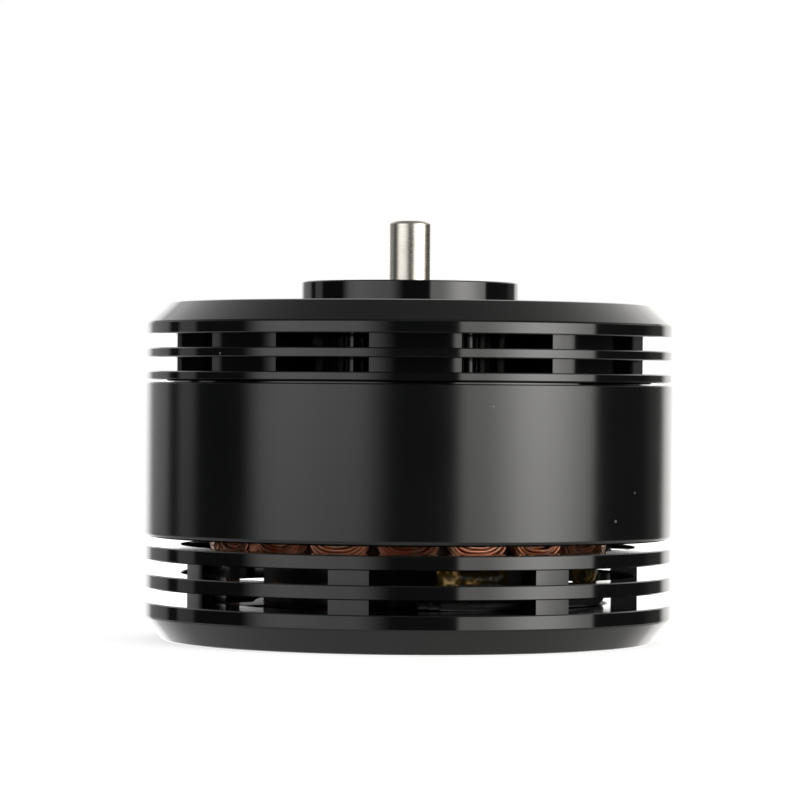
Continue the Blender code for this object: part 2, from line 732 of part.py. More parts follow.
def make_bell_cap():
    """The one-piece bell cap: top disc, boss, hub, pillars with ribs, free fin and seat fin."""
    spigot_outer = ring_inner - FIT_GAP
    spigot_inner = spigot_outer - SPIGOT_WALL
    spigot_bottom = magnet_top + FIT_GAP
    under = cap_top - TOP_DISC_THICKNESS
    hub_bottom = nose_bottom + HUB_NOSE_LENGTH
    disc = turned("top_disc", [
        (HUB_RADIUS - JOIN_OVERLAP, under), (cap_pillar_inner, under),
        (cap_pillar_inner, disc_bottom), (body_radius, disc_bottom),
        (body_radius, cap_top - CAP_CHAMFER_HEIGHT), (body_radius - CAP_CHAMFER_WIDTH, cap_top),
        (HUB_RADIUS - JOIN_OVERLAP, cap_top),
    ])
    hub = turned("boss", [
        (shaft_bore, nose_bottom), (inner_land, nose_bottom), (inner_land, hub_bottom),
        (HUB_RADIUS, hub_bottom), (HUB_RADIUS, under + JOIN_OVERLAP), (boss_radius, under + JOIN_OVERLAP),
        (boss_radius, boss_top), (shaft_bore, boss_top),
    ], HUB_SIDES)
    body = boolean(disc, [hub], "UNION")
    pitch = math.tau / CAP_PILLAR_COUNT
    rib_bottom = coil_top + RIB_ABOVE_COILS
    pillars = []
    rings = []
    for i in range(CAP_PILLAR_COUNT):
        angle = CAP_PILLAR_START + i * pitch
        pillars.append(sector(
            f"cap_pillar_{i + 1}", cap_pillar_inner + JOIN_OVERLAP, cap_groove_radius,
            angle, CAP_PILLAR_SPAN, seat_top - JOIN_OVERLAP, disc_bottom + JOIN_OVERLAP,
        ))
        rib = plate(f"cap_rib_{i + 1}", [rib_outline()], rib_bottom, under + JOIN_OVERLAP)
        rib.data.transform(Matrix.Translation((0, 0, rib.location.z)))
        rib.location.z = 0
        pillars.append(turn(rib, angle))
    rings.append(turned("seat_fin", [
        (spigot_inner, spigot_bottom), (spigot_outer, spigot_bottom),
        (spigot_outer, seat_bottom), (body_radius, seat_bottom), (body_radius, seat_top),
        (spigot_inner, seat_top),
    ]))
    fin_inner = cap_groove_radius - JOIN_OVERLAP
    for i in range(CAP_FIN_COUNT):
        bottom = seat_top + (i + 1) * CAP_GROOVE_HEIGHT + i * CAP_FIN_THICKNESS
        top = bottom + CAP_FIN_THICKNESS
        rings.append(turned(f"cap_fin_{i + 1}", [
            (fin_inner, bottom), (body_radius, bottom), (body_radius, top), (fin_inner, top)
        ]))
    body = boolean(body, pillars, "UNION")
    body = boolean(body, rings, "UNION")
    cuts = []
    for i in range(CAP_PILLAR_COUNT):
        cuts.append(arc_slot(
            f"intake_{i + 1}", boss_radius + INTAKE_MARGIN, INTAKE_WIDTH,
            CAP_PILLAR_START + (i + 0.5) * pitch, pitch - CAP_SPOKE_SPAN,
            under - CUT_MARGIN, cap_top + CUT_MARGIN,
        ))
    for i in range(ADAPTER_HOLE_COUNT):
        hole = cylinder(
            f"adapter_hole_{i + 1}", ADAPTER_HOLE_RADIUS,
            boss_top - ADAPTER_HOLE_DEPTH, boss_top + CUT_MARGIN,
        )
        hole.data.transform(Matrix.Translation((ADAPTER_HOLE_CIRCLE_RADIUS, 0, 0)))
        cuts.append(turn(hole, (i + 0.5) * math.tau / ADAPTER_HOLE_COUNT))
    return place(boolean(body, cuts, "DIFFERENCE"), "bell_cap", black_anodised)


def carry(axis_name, is_carried):
    """Parents the parts that turn together to an empty on the motor's axis."""
    axis = new_object(axis_name, None, parts)
    for obj in parts.objects:
        if obj.type == "MESH" and is_carried(obj.name):
            obj.parent = axis


ball_mesh = make_ball_mesh()
make_base()
make_core()
make_coils()
make_wraps()
make_bearing("lower_bearing", lower_bearing_bottom)
make_bearing("upper_bearing", upper_bearing_bottom)
make_shaft()
make_flux_ring()
make_bell_cap()

cage_parts = ("_cage", "_ball_")
turning = ("bell_cap", "flux_ring", "shaft", "bell_shim", "thrust_washer", "retaining_clip")
carry("rotor_axis", lambda name: name in turning or name.endswith("inner_ring"))
for bearing in ("lower_bearing", "upper_bearing"):
    carry(
        f"{bearing}_cage_axis",
        lambda name: name.startswith(bearing) and any(piece in name for piece in cage_parts),
    )
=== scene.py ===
# %% [markdown]
# # A brushless motor on white
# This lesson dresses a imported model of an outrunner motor: a still base with the coils, and a bell
# that turns round it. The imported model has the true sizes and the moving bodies, but only coarse
# facets. Each cell remakes one piece finely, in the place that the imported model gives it, and hands
# it to the body that it turns with.

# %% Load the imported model
import math

import bmesh
import bpy
from mathutils import Matrix, Vector


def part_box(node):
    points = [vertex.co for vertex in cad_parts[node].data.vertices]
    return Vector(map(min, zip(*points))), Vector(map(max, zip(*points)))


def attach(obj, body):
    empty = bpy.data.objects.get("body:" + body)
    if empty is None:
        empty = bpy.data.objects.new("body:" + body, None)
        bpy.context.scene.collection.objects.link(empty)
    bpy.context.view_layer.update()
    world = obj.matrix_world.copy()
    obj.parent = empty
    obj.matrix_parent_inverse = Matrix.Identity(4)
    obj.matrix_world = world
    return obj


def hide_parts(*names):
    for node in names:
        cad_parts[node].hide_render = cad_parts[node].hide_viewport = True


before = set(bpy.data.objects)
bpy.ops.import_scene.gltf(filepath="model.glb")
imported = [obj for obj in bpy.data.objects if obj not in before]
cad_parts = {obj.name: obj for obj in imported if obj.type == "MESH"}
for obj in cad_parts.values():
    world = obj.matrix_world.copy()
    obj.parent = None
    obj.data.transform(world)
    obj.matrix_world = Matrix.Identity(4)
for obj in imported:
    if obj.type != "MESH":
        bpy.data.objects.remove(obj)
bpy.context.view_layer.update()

# %% [markdown]
# ## Sizes
# A fine piece has to lie exactly where the coarse one lies. Whatever a node's box can say, such as
# the radius of the flux ring or the height of the boss, is read from it. The rest, such as the
# height of a groove between two fins, is written once here, in metres.

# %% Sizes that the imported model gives
body_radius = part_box("flux_ring")[1].x
ring_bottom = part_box("flux_ring")[0].z
ring_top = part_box("flux_ring")[1].z
tube_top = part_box("base")[1].z
boss_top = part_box("bell_cap")[1].z
shaft_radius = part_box("shaft")[1].x
shaft_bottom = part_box("shaft")[0].z
shaft_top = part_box("shaft")[1].z
core_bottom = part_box("stator_core")[0].z
core_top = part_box("stator_core")[1].z
coil_outer = -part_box("coil_01")[0].y
coil_inner = -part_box("coil_01")[1].y
coil_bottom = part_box("coil_01")[0].z
coil_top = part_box("coil_01")[1].z
bearing_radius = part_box("lower_bearing_outer_ring")[1].x
inner_ring_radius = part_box("lower_bearing_inner_ring")[1].x
clip_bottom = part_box("retaining_clip")[0].z
clip_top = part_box("retaining_clip")[1].z
print(f"body {2000 * body_radius:.1f} mm across, shaft {2000 * shaft_radius:.1f} mm")

# %% Sizes that no box gives
FIT_GAP = 0.0003
OVERLAP = 0.0003
CUT_MARGIN = 0.002
EDGE_BREAK = 0.00013
FINE_EDGE = 0.00008

PLATE_HEIGHT = 0.00453
FOOT_CHAMFER = (0.0022, 0.0028)
BASE_GROOVE = 0.00166
BASE_FIN = 0.00168
BASE_FIN_COUNT = 2
BASE_GROOVE_DEPTH = 0.0041
BASE_PILLAR_COUNT = 7
BASE_PILLAR_START = math.radians(-14.3)
BASE_PILLAR_SPAN = math.radians(10)
BASE_SPOKE_SPAN = math.radians(17)
VENT_MARGIN = 0.0012
VENT_WIDTH = 0.0052
HUB_PAD_RADIUS = 0.0172
HUB_PAD_HEIGHT = 0.0044
TUBE_WALL = 0.0024
TUBE_SHOULDER = 0.0014
CORE_SEAT_WIDTH = 0.0045
MOUNT_CIRCLE = 0.0125
ADAPTER_CIRCLE = 0.0095
HOLE_COUNT = 4
HOLE_RADIUS = 0.0015
MOUNT_HOLE_DEPTH = 0.006
ADAPTER_HOLE_DEPTH = 0.0045
THREAD_PITCH = 0.0005
LEAD_EXIT_HALF = 0.0045
LEAD_EXIT_DEPTH = 0.0012
LEAD_EXIT_CORNER = 0.0018

RING_WALL = 0.0024
RING_EDGE = 0.0006
MAGNET_COUNT = 24
MAGNET_THICKNESS = 0.0026
MAGNET_SPACING = 0.00037
MAGNET_INSET = 0.001125

SEAT_FIN = 0.001
SPIGOT_WALL = 0.0022
CAP_GROOVE = 0.00161
CAP_FIN = 0.00113
CAP_FIN_COUNT = 1
CAP_GROOVE_DEPTH = 0.0035
CAP_PILLAR_COUNT = 8
CAP_PILLAR_START = math.radians(1.3)
CAP_PILLAR_SPAN = math.radians(21.5)
CAP_PILLAR_TO_COIL = 0.0006
CAP_SPOKE_SPAN = math.radians(15.5)
DISC_HEIGHT = 0.00386
DISC_THICKNESS = 0.003
CAP_CHAMFER = (0.0026, 0.00242)
BOSS_RADIUS = 0.01305
BOSS_HEIGHT = 0.0026
HUB_RADIUS = 0.0125
HUB_NOSE = 0.0005
RIB_THICKNESS = 0.003
RIB_CORNER = 0.002
RIB_ABOVE_COILS = 0.0002
HUB_LIP = 0.0015
INTAKE_MARGIN = 0.00245
INTAKE_WIDTH = 0.006

TOOTH_COUNT = 18
TOOTH_WIDTH = 0.003
CORE_RADIUS = 0.026
YOKE_RADIUS = 0.016
SLOT_MOUTH = 0.0012
SHOE_EDGE = 0.001
SHOE_HEIGHT = 0.0016

# %% Heights and radii that follow
base_top = PLATE_HEIGHT + BASE_FIN_COUNT * (BASE_GROOVE + BASE_FIN)
ring_inner = body_radius - RING_WALL
magnet_inner = ring_inner - MAGNET_THICKNESS
base_groove_radius = body_radius - BASE_GROOVE_DEPTH
cap_groove_radius = body_radius - CAP_GROOVE_DEPTH
base_pillar_inner = coil_outer + FIT_GAP
cap_pillar_inner = coil_outer + CAP_PILLAR_TO_COIL
bearing_bore = bearing_radius + FIT_GAP
tube_radius = bearing_bore + TUBE_WALL
shaft_bore = shaft_radius + FIT_GAP
cap_top = boss_top - BOSS_HEIGHT
disc_bottom = cap_top - DISC_HEIGHT
under_disc = cap_top - DISC_THICKNESS
seat_bottom = ring_top + FIT_GAP
seat_top = seat_bottom + SEAT_FIN
rib_bottom = coil_top + RIB_ABOVE_COILS
print(f"fins end at {1000 * base_top:.2f} mm, the bell's disc starts at {1000 * disc_bottom:.2f} mm")

# %% [markdown]
# ## Camera
# The photograph was taken from far off with a long lens, nearly level with the middle of the motor:
# the top of the boss and the foot both show as lines. A long lens keeps the sides straight. The
# picture is turned by less than half a degree, as if the camera stood on a slightly crooked head.

# %% Camera
CAMERA_DISTANCE = 0.472
CAMERA_HEIGHT = 0.0295
CAMERA_SIDE = -0.00107
CAMERA_DROP = math.radians(0.115)
CAMERA_ROLL = 0.0077
LENS_MM = 177.7

lens = bpy.data.cameras.new("camera")
lens.lens = LENS_MM
lens.sensor_width = 36
lens.clip_start = 0.01
camera = bpy.data.objects.new("camera", lens)
bpy.context.scene.collection.objects.link(camera)
aim = Matrix.Rotation(math.pi / 2 - CAMERA_DROP, 4, "X") @ Matrix.Rotation(CAMERA_ROLL, 4, "Z")
camera.matrix_world = Matrix.Translation((CAMERA_SIDE, -CAMERA_DISTANCE, CAMERA_HEIGHT)) @ aim
bpy.context.scene.camera = camera
print("camera", [round(x, 4) for x in camera.location])

# %% [markdown]
# ## Nodes in Python
# Materials and Geometry Nodes are both node trees, so one small pair of classes serves both. A
# `Tree` adds a node from its type, its settings and what goes into its sockets. A `Value` wraps a
# socket that comes out, and Python's own signs on it add Math nodes, so a formula reads as one.

# %% A node's output, with arithmetic
class Value:
    """What a node gives out. Arithmetic on it adds Math nodes to its tree."""

    def __init__(self, tree, socket):
        self.tree = tree
        self.socket = socket

    def math(self, operation, *operands):
        sockets = dict(enumerate(operands))
        return self.tree.add("ShaderNodeMath", {"operation": operation}, sockets)["Value"]

    def __add__(self, other):
        return self.math("ADD", self, other)

    def __radd__(self, other):
        return self.math("ADD", other, self)

    def __sub__(self, other):
        return self.math("SUBTRACT", self, other)

    def __rsub__(self, other):
        return self.math("SUBTRACT", other, self)

    def __mul__(self, other):
        return self.math("MULTIPLY", self, other)

    def __rmul__(self, other):
        return self.math("MULTIPLY", other, self)

    def __truediv__(self, other):
        return self.math("DIVIDE", self, other)

    def __pow__(self, other):
        return self.math("POWER", self, other)

    def floor(self):
        return self.math("FLOOR", self)

    def sine(self):
        return self.math("SINE", self)

    def cosine(self):
        return self.math("COSINE", self)

    def tangent(self):
        return self.math("TANGENT", self)

    def arcsine(self):
        return self.math("ARCSINE", self)

    def size(self):
        return self.math("ABSOLUTE", self)

    def sign(self):
        return self.math("SIGN", self)

    def at_most(self, other):
        return self.math("MINIMUM", self, other)

    def at_least(self, other):
        return self.math("MAXIMUM", self, other)

    def window(self, low, high, low_edge, high_edge):
        """1 between low and high and 0 outside, with edges as wide as given."""
        inside = self.ramp(low - low_edge / 2, low + low_edge / 2)
        return inside * (1 - self.ramp(high - high_edge / 2, high + high_edge / 2))

    def ramp(self, low, high, bottom=0.0, top=1.0):
        """Goes smoothly from bottom to top as this goes from low to high."""
        sockets = {"Value": self, "From Min": low, "From Max": high, "To Min": bottom, "To Max": top}
        smooth = {"interpolation_type": "SMOOTHSTEP"}
        return self.tree.add("ShaderNodeMapRange", smooth, sockets)["Result"]


# %% A tree that nodes are added to
class Made:
    """A node that was added. Its outputs are found by name or number."""

    def __init__(self, tree, node):
        self.tree = tree
        self.node = node

    def __getitem__(self, name):
        return Value(self.tree, self.node.outputs[name])


class Tree:
    """Adds nodes to a material's, a world's or a modifier's tree."""

    def __init__(self, tree):
        self.tree = tree

    def add(self, kind, settings=None, sockets=None):
        node = self.tree.nodes.new(kind)
        for name, value in (settings or {}).items():
            setattr(node, name, value)
        for name, value in (sockets or {}).items():
            if isinstance(value, Value):
                self.tree.links.new(value.socket, node.inputs[name])
            else:
                node.inputs[name].default_value = value
        return Made(self, node)

    def vector(self, x=0.0, y=0.0, z=0.0):
        return self.add("ShaderNodeCombineXYZ", None, {"X": x, "Y": y, "Z": z})["Vector"]

    def mix_colour(self, factor, first, second):
        return self.add("ShaderNodeMix", {"data_type": "RGBA"}, {0: factor, 6: first, 7: second})[2]

    def noise(self, vector, scale, detail=2.0, roughness=0.5):
        sockets = {"Vector": vector, "Scale": scale, "Detail": detail, "Roughness": roughness}
        return self.add("ShaderNodeTexNoise", None, sockets)["Fac"]


print("node helpers ready")

# %% [markdown]
# ## Turned and milled pieces
# Nearly everything here is turned on a lathe and then milled. A turned piece is an outline of radius
# and height, swept round the axis by a Screw modifier. A machinist takes the sharp edge off each
# corner, and that thin bright line is what makes metal look machined, so every corner of an outline
# is cut by a tiny amount before it is turned. Slots and holes are cut with exact booleans.

# %% Outlines
FULL_SIDES = 256
SMALL_SIDES = 96
HOLE_SIDES = 40
ARC_STEP = math.radians(1.5)
SHARP_ANGLE = math.radians(14)
WELD_DISTANCE = 1e-7


def on_circle(radius, angle, height=0.0):
    """A point at this angle from the front (-Y), counted towards +X."""
    return Vector((radius * math.sin(angle), -radius * math.cos(angle), height))


def steps(start, end, step=ARC_STEP):
    """Evenly spaced angles from start to end, no further apart than step."""
    count = max(1, math.ceil(abs(end - start) / step))
    return [start + (end - start) * i / count for i in range(count + 1)]


def broken(outline, cut=EDGE_BREAK):
    """The outline with its corners cut, except for those on the axis."""
    made = []
    for i, point in enumerate(outline):
        here = Vector(point)
        before = Vector(outline[i - 1]) - here
        after = Vector(outline[(i + 1) % len(outline)]) - here
        if here.x == 0:
            made.append(tuple(here))
            continue
        taken = min(cut, before.length * 0.4, after.length * 0.4)
        made.append(tuple(here + before.normalized() * taken))
        made.append(tuple(here + after.normalized() * taken))
    return made


def slot_outline(inner, width, middle, span):
    """A slot that follows an arc and has round ends. Its span counts the ends."""
    centre = inner + width / 2
    end_span = span / 2 - math.asin(width / 2 / centre)
    rim = [on_circle(inner + width, middle + a).xy for a in steps(-end_span, end_span)]
    for side in (1, -1):
        hub = on_circle(centre, middle + side * end_span)
        out = on_circle(1, middle + side * end_span)
        along = Vector((-out.y, out.x, 0))
        for angle in steps(0, math.pi, math.radians(12))[1:-1]:
            reach = out * math.cos(angle) + along * math.sin(angle)
            rim.append((hub + reach * side * width / 2).xy)
        if side == 1:
            rim += [on_circle(inner, middle - a).xy for a in steps(-end_span, end_span)]
    return rim


print("a turned corner becomes", broken([(0.01, 0), (0.02, 0), (0.02, 0.01)])[2:4])

# %% Solids
def add_object(name, data):
    made = bpy.data.objects.new(name, data)
    bpy.context.scene.collection.objects.link(made)
    return made


def plain(obj, name):
    """The object's evaluated shape as a plain mesh, with its doubles merged. The source goes."""
    bpy.context.view_layer.update()
    mesh = bpy.data.meshes.new_from_object(obj.evaluated_get(bpy.context.evaluated_depsgraph_get()))
    mesh.transform(obj.matrix_world)
    bpy.data.objects.remove(obj)
    shape = bmesh.new()
    shape.from_mesh(mesh)
    bmesh.ops.remove_doubles(shape, verts=shape.verts, dist=WELD_DISTANCE)
    bmesh.ops.recalc_face_normals(shape, faces=shape.faces)
    shape.to_mesh(mesh)
    shape.free()
    return add_object(name, mesh)


def turned(name, outline, sides=FULL_SIDES):
    """An outline of (radius, height) points turned about Z."""
    count = len(outline)
    on_axis = [i for i in range(count) if outline[i][0] == 0]
    if on_axis:
        first = next(i for i in on_axis if outline[(i + 1) % count][0] > 0)
        outline = outline[first:] + outline[:first]
    edges = [(i, i + 1) for i in range(count - 1)]
    if not on_axis:
        edges.append((count - 1, 0))
    mesh = bpy.data.meshes.new(name)
    mesh.from_pydata([(r, 0, z) for r, z in outline], edges, [])
    made = add_object(name, mesh)
    screw = made.modifiers.new("Turn", "SCREW")
    screw.steps = sides
    screw.render_steps = sides
    screw.use_merge_vertices = True
    screw.merge_threshold = WELD_DISTANCE
    return plain(made, name)


def lofted(name, rings):
    """A closed solid through rings of points that have as many points each."""
    shape = bmesh.new()
    rows = [[shape.verts.new(point) for point in ring] for ring in rings]
    for row, following in zip(rows, rows[1:]):
        for i in range(len(row)):
            j = (i + 1) % len(row)
            shape.faces.new((row[i], row[j], following[j], following[i]))
    shape.faces.new(rows[0])
    shape.faces.new(rows[-1])
    bmesh.ops.recalc_face_normals(shape, faces=shape.faces)
    mesh = bpy.data.meshes.new(name)
    shape.to_mesh(mesh)
    shape.free()
    return add_object(name, mesh)


def block(name, outline, bottom, top):
    """A flat outline as a prism."""
    return lofted(name, [[(x, y, z) for x, y in outline] for z in (bottom, top)])


def turn_to(obj, angle):
    """Turns a shape that was made at the front round the motor's axis."""
    obj.data.transform(Matrix.Rotation(angle, 4, "Z"))
    return obj


def combined(body, others, operation):
    """The body joined with the other shapes, or cut by them. The others go."""
    for other in others:
        step = body.modifiers.new(other.name, "BOOLEAN")
        step.operation = operation
        step.solver = "EXACT"
        step.object = other
    made = plain(body, body.name)
    for other in others:
        bpy.data.objects.remove(other)
    return made


print("solid helpers ready")

# %% [markdown]
# Slots and holes get a small countersink at each face, because a milled slot is always deburred. A
# cutter with a wider ring at each face does both in one cut.

# %% Cutters
SLOT_CHAMFER = 0.0002


def slot_cutter(name, inner, width, middle, span, low, high):
    """Cuts a round-ended slot between two faces, with a small chamfer at both."""
    def ring(height, grown):
        angle = grown / (inner + width / 2)
        rim = slot_outline(inner - grown, width + 2 * grown, middle, span + 2 * angle)
        return [(x, y, height) for x, y in rim]

    chamfer = SLOT_CHAMFER
    return lofted(name, [
        ring(low - CUT_MARGIN, chamfer), ring(low, chamfer), ring(low + chamfer, 0),
        ring(high - chamfer, 0), ring(high, chamfer), ring(high + CUT_MARGIN, chamfer),
    ])


def hole_cutter(name, circle, angle, face, depth):
    """Cuts a drilled hole with a cone at its end. A positive depth goes up from the face."""
    way = 1 if depth > 0 else -1
    wide = HOLE_RADIUS + SLOT_CHAMFER
    outline = [
        (0, face - way * CUT_MARGIN), (wide, face - way * CUT_MARGIN), (wide, face),
        (HOLE_RADIUS, face + way * SLOT_CHAMFER), (HOLE_RADIUS, face + depth - way * HOLE_RADIUS / 2),
        (0, face + depth),
    ]
    cutter = turned(name, outline, HOLE_SIDES)
    cutter.data.transform(Matrix.Translation((0, -circle, 0)))
    return turn_to(cutter, angle)


print("cutters ready")

# %% [markdown]
# ## Finishes
# Black anodising is a hard clear layer that is dyed black, on metal that was turned before. It is
# glossy, and the fine rings that the lathe left stay under it. Its colour comes from almost nothing
# but what it mirrors, so the finish needs little colour and much care with roughness and bump. The
# rings are noise that is squeezed along radius and height, and nearly constant round the axis.

# %% Shared parts of the finishes
def surface(name, colour, roughness, metallic=0.0, ior=1.5, coat=0.0, coat_roughness=0.05):
    """A new material, its tree, and its main shader with the values that are the same all over."""
    material = bpy.data.materials.new(name)
    material.use_nodes = True
    shader = material.node_tree.nodes["Principled BSDF"]
    shader.inputs["Base Color"].default_value = (*colour, 1)
    shader.inputs["Roughness"].default_value = roughness
    shader.inputs["Metallic"].default_value = metallic
    shader.inputs["IOR"].default_value = ior
    shader.inputs["Coat Weight"].default_value = coat
    shader.inputs["Coat Roughness"].default_value = coat_roughness
    return material, Tree(material.node_tree), shader


def feed(tree, shader, **sockets):
    """Links values to the shader's sockets. A name's underscores stand for spaces."""
    for name, value in sockets.items():
        tree.tree.links.new(value.socket, shader.inputs[name.replace("_", " ")])


def bumped(tree, shader, height, distance):
    """Lets a height from 0 to 1 roughen the surface by a distance in metres."""
    sockets = {"Height": height, "Distance": distance}
    feed(tree, shader, Normal=tree.add("ShaderNodeBump", None, sockets)["Normal"])


def round_place(tree):
    """Object coordinates, and the radius, angle and height that a lathe sees."""
    place = tree.add("ShaderNodeTexCoord")["Object"]
    parts = tree.add("ShaderNodeSeparateXYZ", None, {"Vector": place})
    x, y, z = parts["X"], parts["Y"], parts["Z"]
    radius = (x * x + y * y) ** 0.5
    angle = x.math("ARCTAN2", x, y)
    return place, radius, angle, z


print("finish helpers ready")

# %% Black anodising and black ring coat
BLACK = (0.0034, 0.0042, 0.0038)
DUST = (0.14, 0.14, 0.15)
DUST_CELLS = 420.0
DUST_SHARE = 0.06
HOLLOW_RADII = (0.0235, 0.0242)
HOLLOW_HEIGHTS = (0.0044, 0.013)
HOLLOW_EDGES = (0.0002, 0.001)
HOLLOW_SHADE_SHARE = 0.9
DULL_ROUGHNESS = 0.5
DULL_IOR = 1.2


def specks(tree, place, scale, share):
    """A mask of tiny dust grains: the middles of some cells of a Voronoi pattern."""
    cells = tree.add("ShaderNodeTexVoronoi", None, {"Vector": place, "Scale": scale})
    chance = tree.add("ShaderNodeSeparateColor", None, {"Color": cells["Color"]})["Red"]
    return (1 - cells["Distance"].ramp(0.05, 0.09)) * chance.ramp(1 - share, 1 - share * 0.8)


def black_finish(name, roughness, spread, ring_depth, peel_depth, peel_scale):
    """A glossy black layer over turned metal. Ring and peel depths are in metres.

    The milled hollow of the base, behind the pillars, is rougher, and its weak mirror is painted shade:
    it shows no mirror images.
    """
    material, tree, shader = surface(name, BLACK, roughness, ior=1.53)
    place, radius, angle, height = round_place(tree)
    lathe = tree.vector(radius, angle * 0.00004, height)
    rings = tree.noise(lathe, 9000.0, 3.0, 0.6)
    clouds = tree.noise(place, 90.0, 3.0, 0.6)
    peel = tree.noise(place, peel_scale, 2.0)
    dust = specks(tree, place, DUST_CELLS, DUST_SHARE)
    # Painted shade: the hollow inside the base, behind the pillars, mirrors less than the rest.
    milled_hollow_shade = (1 - radius.ramp(*HOLLOW_RADII)) * height.window(*HOLLOW_HEIGHTS, *HOLLOW_EDGES)
    feed(
        tree, shader,
        Base_Color=tree.mix_colour(dust, (*BLACK, 1), (*DUST, 1)),
        Roughness=clouds.ramp(0.3, 0.7, roughness - spread, roughness + spread) + dust * 0.3,
    )
    dull = tree.add("ShaderNodeBsdfPrincipled", None, {
        "Base Color": (*BLACK, 1), "Roughness": DULL_ROUGHNESS, "IOR": DULL_IOR,
    })
    mixed = tree.add("ShaderNodeMixShader", None, {
        0: milled_hollow_shade * HOLLOW_SHADE_SHARE, 1: Value(tree, shader.outputs["BSDF"]), 2: dull["BSDF"],
    })
    tree.tree.links.new(mixed["Shader"].socket, tree.tree.nodes["Material Output"].inputs["Surface"])
    bumped(tree, shader, rings * ring_depth + peel * peel_depth, 1.0)
    return material


black_anodised = black_finish("black_anodised", 0.075, 0.015, 0.0000006, 0.0000003, 1600.0)
black_ring_coat = black_finish("black_ring_coat", 0.165, 0.015, 0.0000004, 0.000003, 9000.0)
print("black finishes ready")

# %% [markdown]
# Ground steel shows fine marks round the piece, so its bump is noise along the height alone. Bearing
# rings, washers and the clip share it, with other colours and roughness.

# %% Steels and magnet plating
def steel_finish(name, colour, roughness, mark_depth, mark_scale=14000.0):
    """Ground or turned steel with marks round the axis."""
    material, tree, shader = surface(name, colour, roughness, metallic=1.0)
    place, radius, angle, height = round_place(tree)
    lathe = tree.vector(radius, angle * 0.00003, height)
    marks = tree.noise(lathe, mark_scale, 4.0, 0.65)
    stains = tree.noise(place, 260.0, 4.0, 0.6)
    darker = tuple(part * 0.78 for part in colour)
    feed(
        tree, shader,
        Base_Color=tree.mix_colour(stains.ramp(0.35, 0.75), (*colour, 1), (*darker, 1)),
        Roughness=marks.ramp(0.2, 0.8, roughness * 0.8, roughness * 1.3),
    )
    bumped(tree, shader, marks, mark_depth)
    return material


polished_steel = steel_finish("polished_steel", (0.72, 0.68, 0.62), 0.28, 0.0000012)
bearing_steel = steel_finish("bearing_steel", (0.58, 0.58, 0.57), 0.2, 0.0000015)
spring_steel = steel_finish("spring_steel", (0.13, 0.13, 0.14), 0.34, 0.000002)
magnet_plating = steel_finish("magnet_plating", (0.5, 0.49, 0.46), 0.28, 0.000002, 3000.0)
print("steels ready")

# %% Copper, core coating, tape, sleeve and paper
def copper_finish():
    """Enamelled copper wire: metal under a thin clear coat, a little different from wire to wire."""
    material, tree, shader = surface("enamelled_copper", (0.95, 0.4, 0.22), 0.3, 1.0, coat=0.5)
    place = tree.add("ShaderNodeTexCoord")["Object"]
    wires = tree.noise(place, 700.0, 2.0)
    fine = tree.noise(place, 5200.0, 3.0)
    feed(
        tree, shader,
        Base_Color=tree.mix_colour(wires.ramp(0.3, 0.7), (1.0, 0.56, 0.37, 1), (1.0, 0.38, 0.2, 1)),
        Roughness=fine.ramp(0.3, 0.7, 0.3, 0.44),
    )
    bumped(tree, shader, fine, 0.000004)
    return material


def shaded_copper_finish():
    """The deeper turns of a coil, seen only in the gaps between the outer ones, painted dark as painted
    shade.
    """
    material, tree, shader = surface("deep_copper", (0.3, 0.09, 0.035), 0.45, 0.8)
    place = tree.add("ShaderNodeTexCoord")["Object"]
    depth = tree.noise(place, 2500.0, 3.0)
    # Both dark copper colours are painted shade.
    feed(tree, shader, Base_Color=tree.mix_colour(depth, (0.12, 0.04, 0.02, 1), (0.03, 0.01, 0.006, 1)))
    bumped(tree, shader, depth, 0.00002)
    return material


def coating_finish():
    """The green powder coat that keeps the wire off the steel, with the soft ripple that it sets to."""
    material, tree, shader = surface("core_coating", (0.01, 0.12, 0.1), 0.3, ior=1.55)
    place = tree.add("ShaderNodeTexCoord")["Object"]
    ripple = tree.noise(place, 900.0, 2.0)
    tone = tree.noise(place, 120.0, 3.0)
    feed(
        tree, shader,
        Base_Color=tree.mix_colour(tone, (0.008, 0.15, 0.125, 1), (0.012, 0.085, 0.075, 1)),
        Roughness=tone.ramp(0.3, 0.7, 0.24, 0.36),
    )
    bumped(tree, shader, ripple, 0.00002)
    return material


def tape_finish():
    """Amber film tape in dark tones that differ at random, with cream spots that are painted highlights of
    lit creases.
    """
    material, tree, shader = surface("amber_tape", (0.05, 0.035, 0.004), 0.4, ior=1.35)
    place = tree.add("ShaderNodeTexCoord")["Object"]
    film_tone_and_glint = tree.noise(place, 420.0, 2.0, 0.6)
    crease = tree.noise(place, 2600.0, 2.0)
    tint = tree.mix_colour(film_tone_and_glint.ramp(0.46, 0.56), (0.03, 0.022, 0.003, 1), (0.13, 0.075, 0.006, 1))
    feed(
        tree, shader,
        # The cream spots where the film noise is highest are painted highlights of lit creases.
        Base_Color=tree.mix_colour(film_tone_and_glint.ramp(0.56, 0.66), tint, (0.95, 0.62, 0.24, 1)),
        Roughness=crease.ramp(0.3, 0.7, 0.3, 0.55),
    )
    bumped(tree, shader, crease, 0.00008)
    return material


def sleeve_finish():
    """Black woven sleeving: dull, with a weave that runs both ways round it."""
    material, tree, shader = surface("woven_sleeve", (0.008, 0.009, 0.009), 0.6, ior=1.45)
    place, radius, angle, height = round_place(tree)
    weave = (angle * 900.0).sine() * (height * 26000.0).sine()
    worn = tree.noise(place, 600.0, 3.0)
    feed(
        tree, shader,
        Base_Color=tree.mix_colour(worn, (0.006, 0.007, 0.007, 1), (0.012, 0.013, 0.012, 1)),
        Roughness=worn.ramp(0.3, 0.7, 0.5, 0.7),
    )
    bumped(tree, shader, weave * 0.5 + 0.5, 0.00001)
    return material


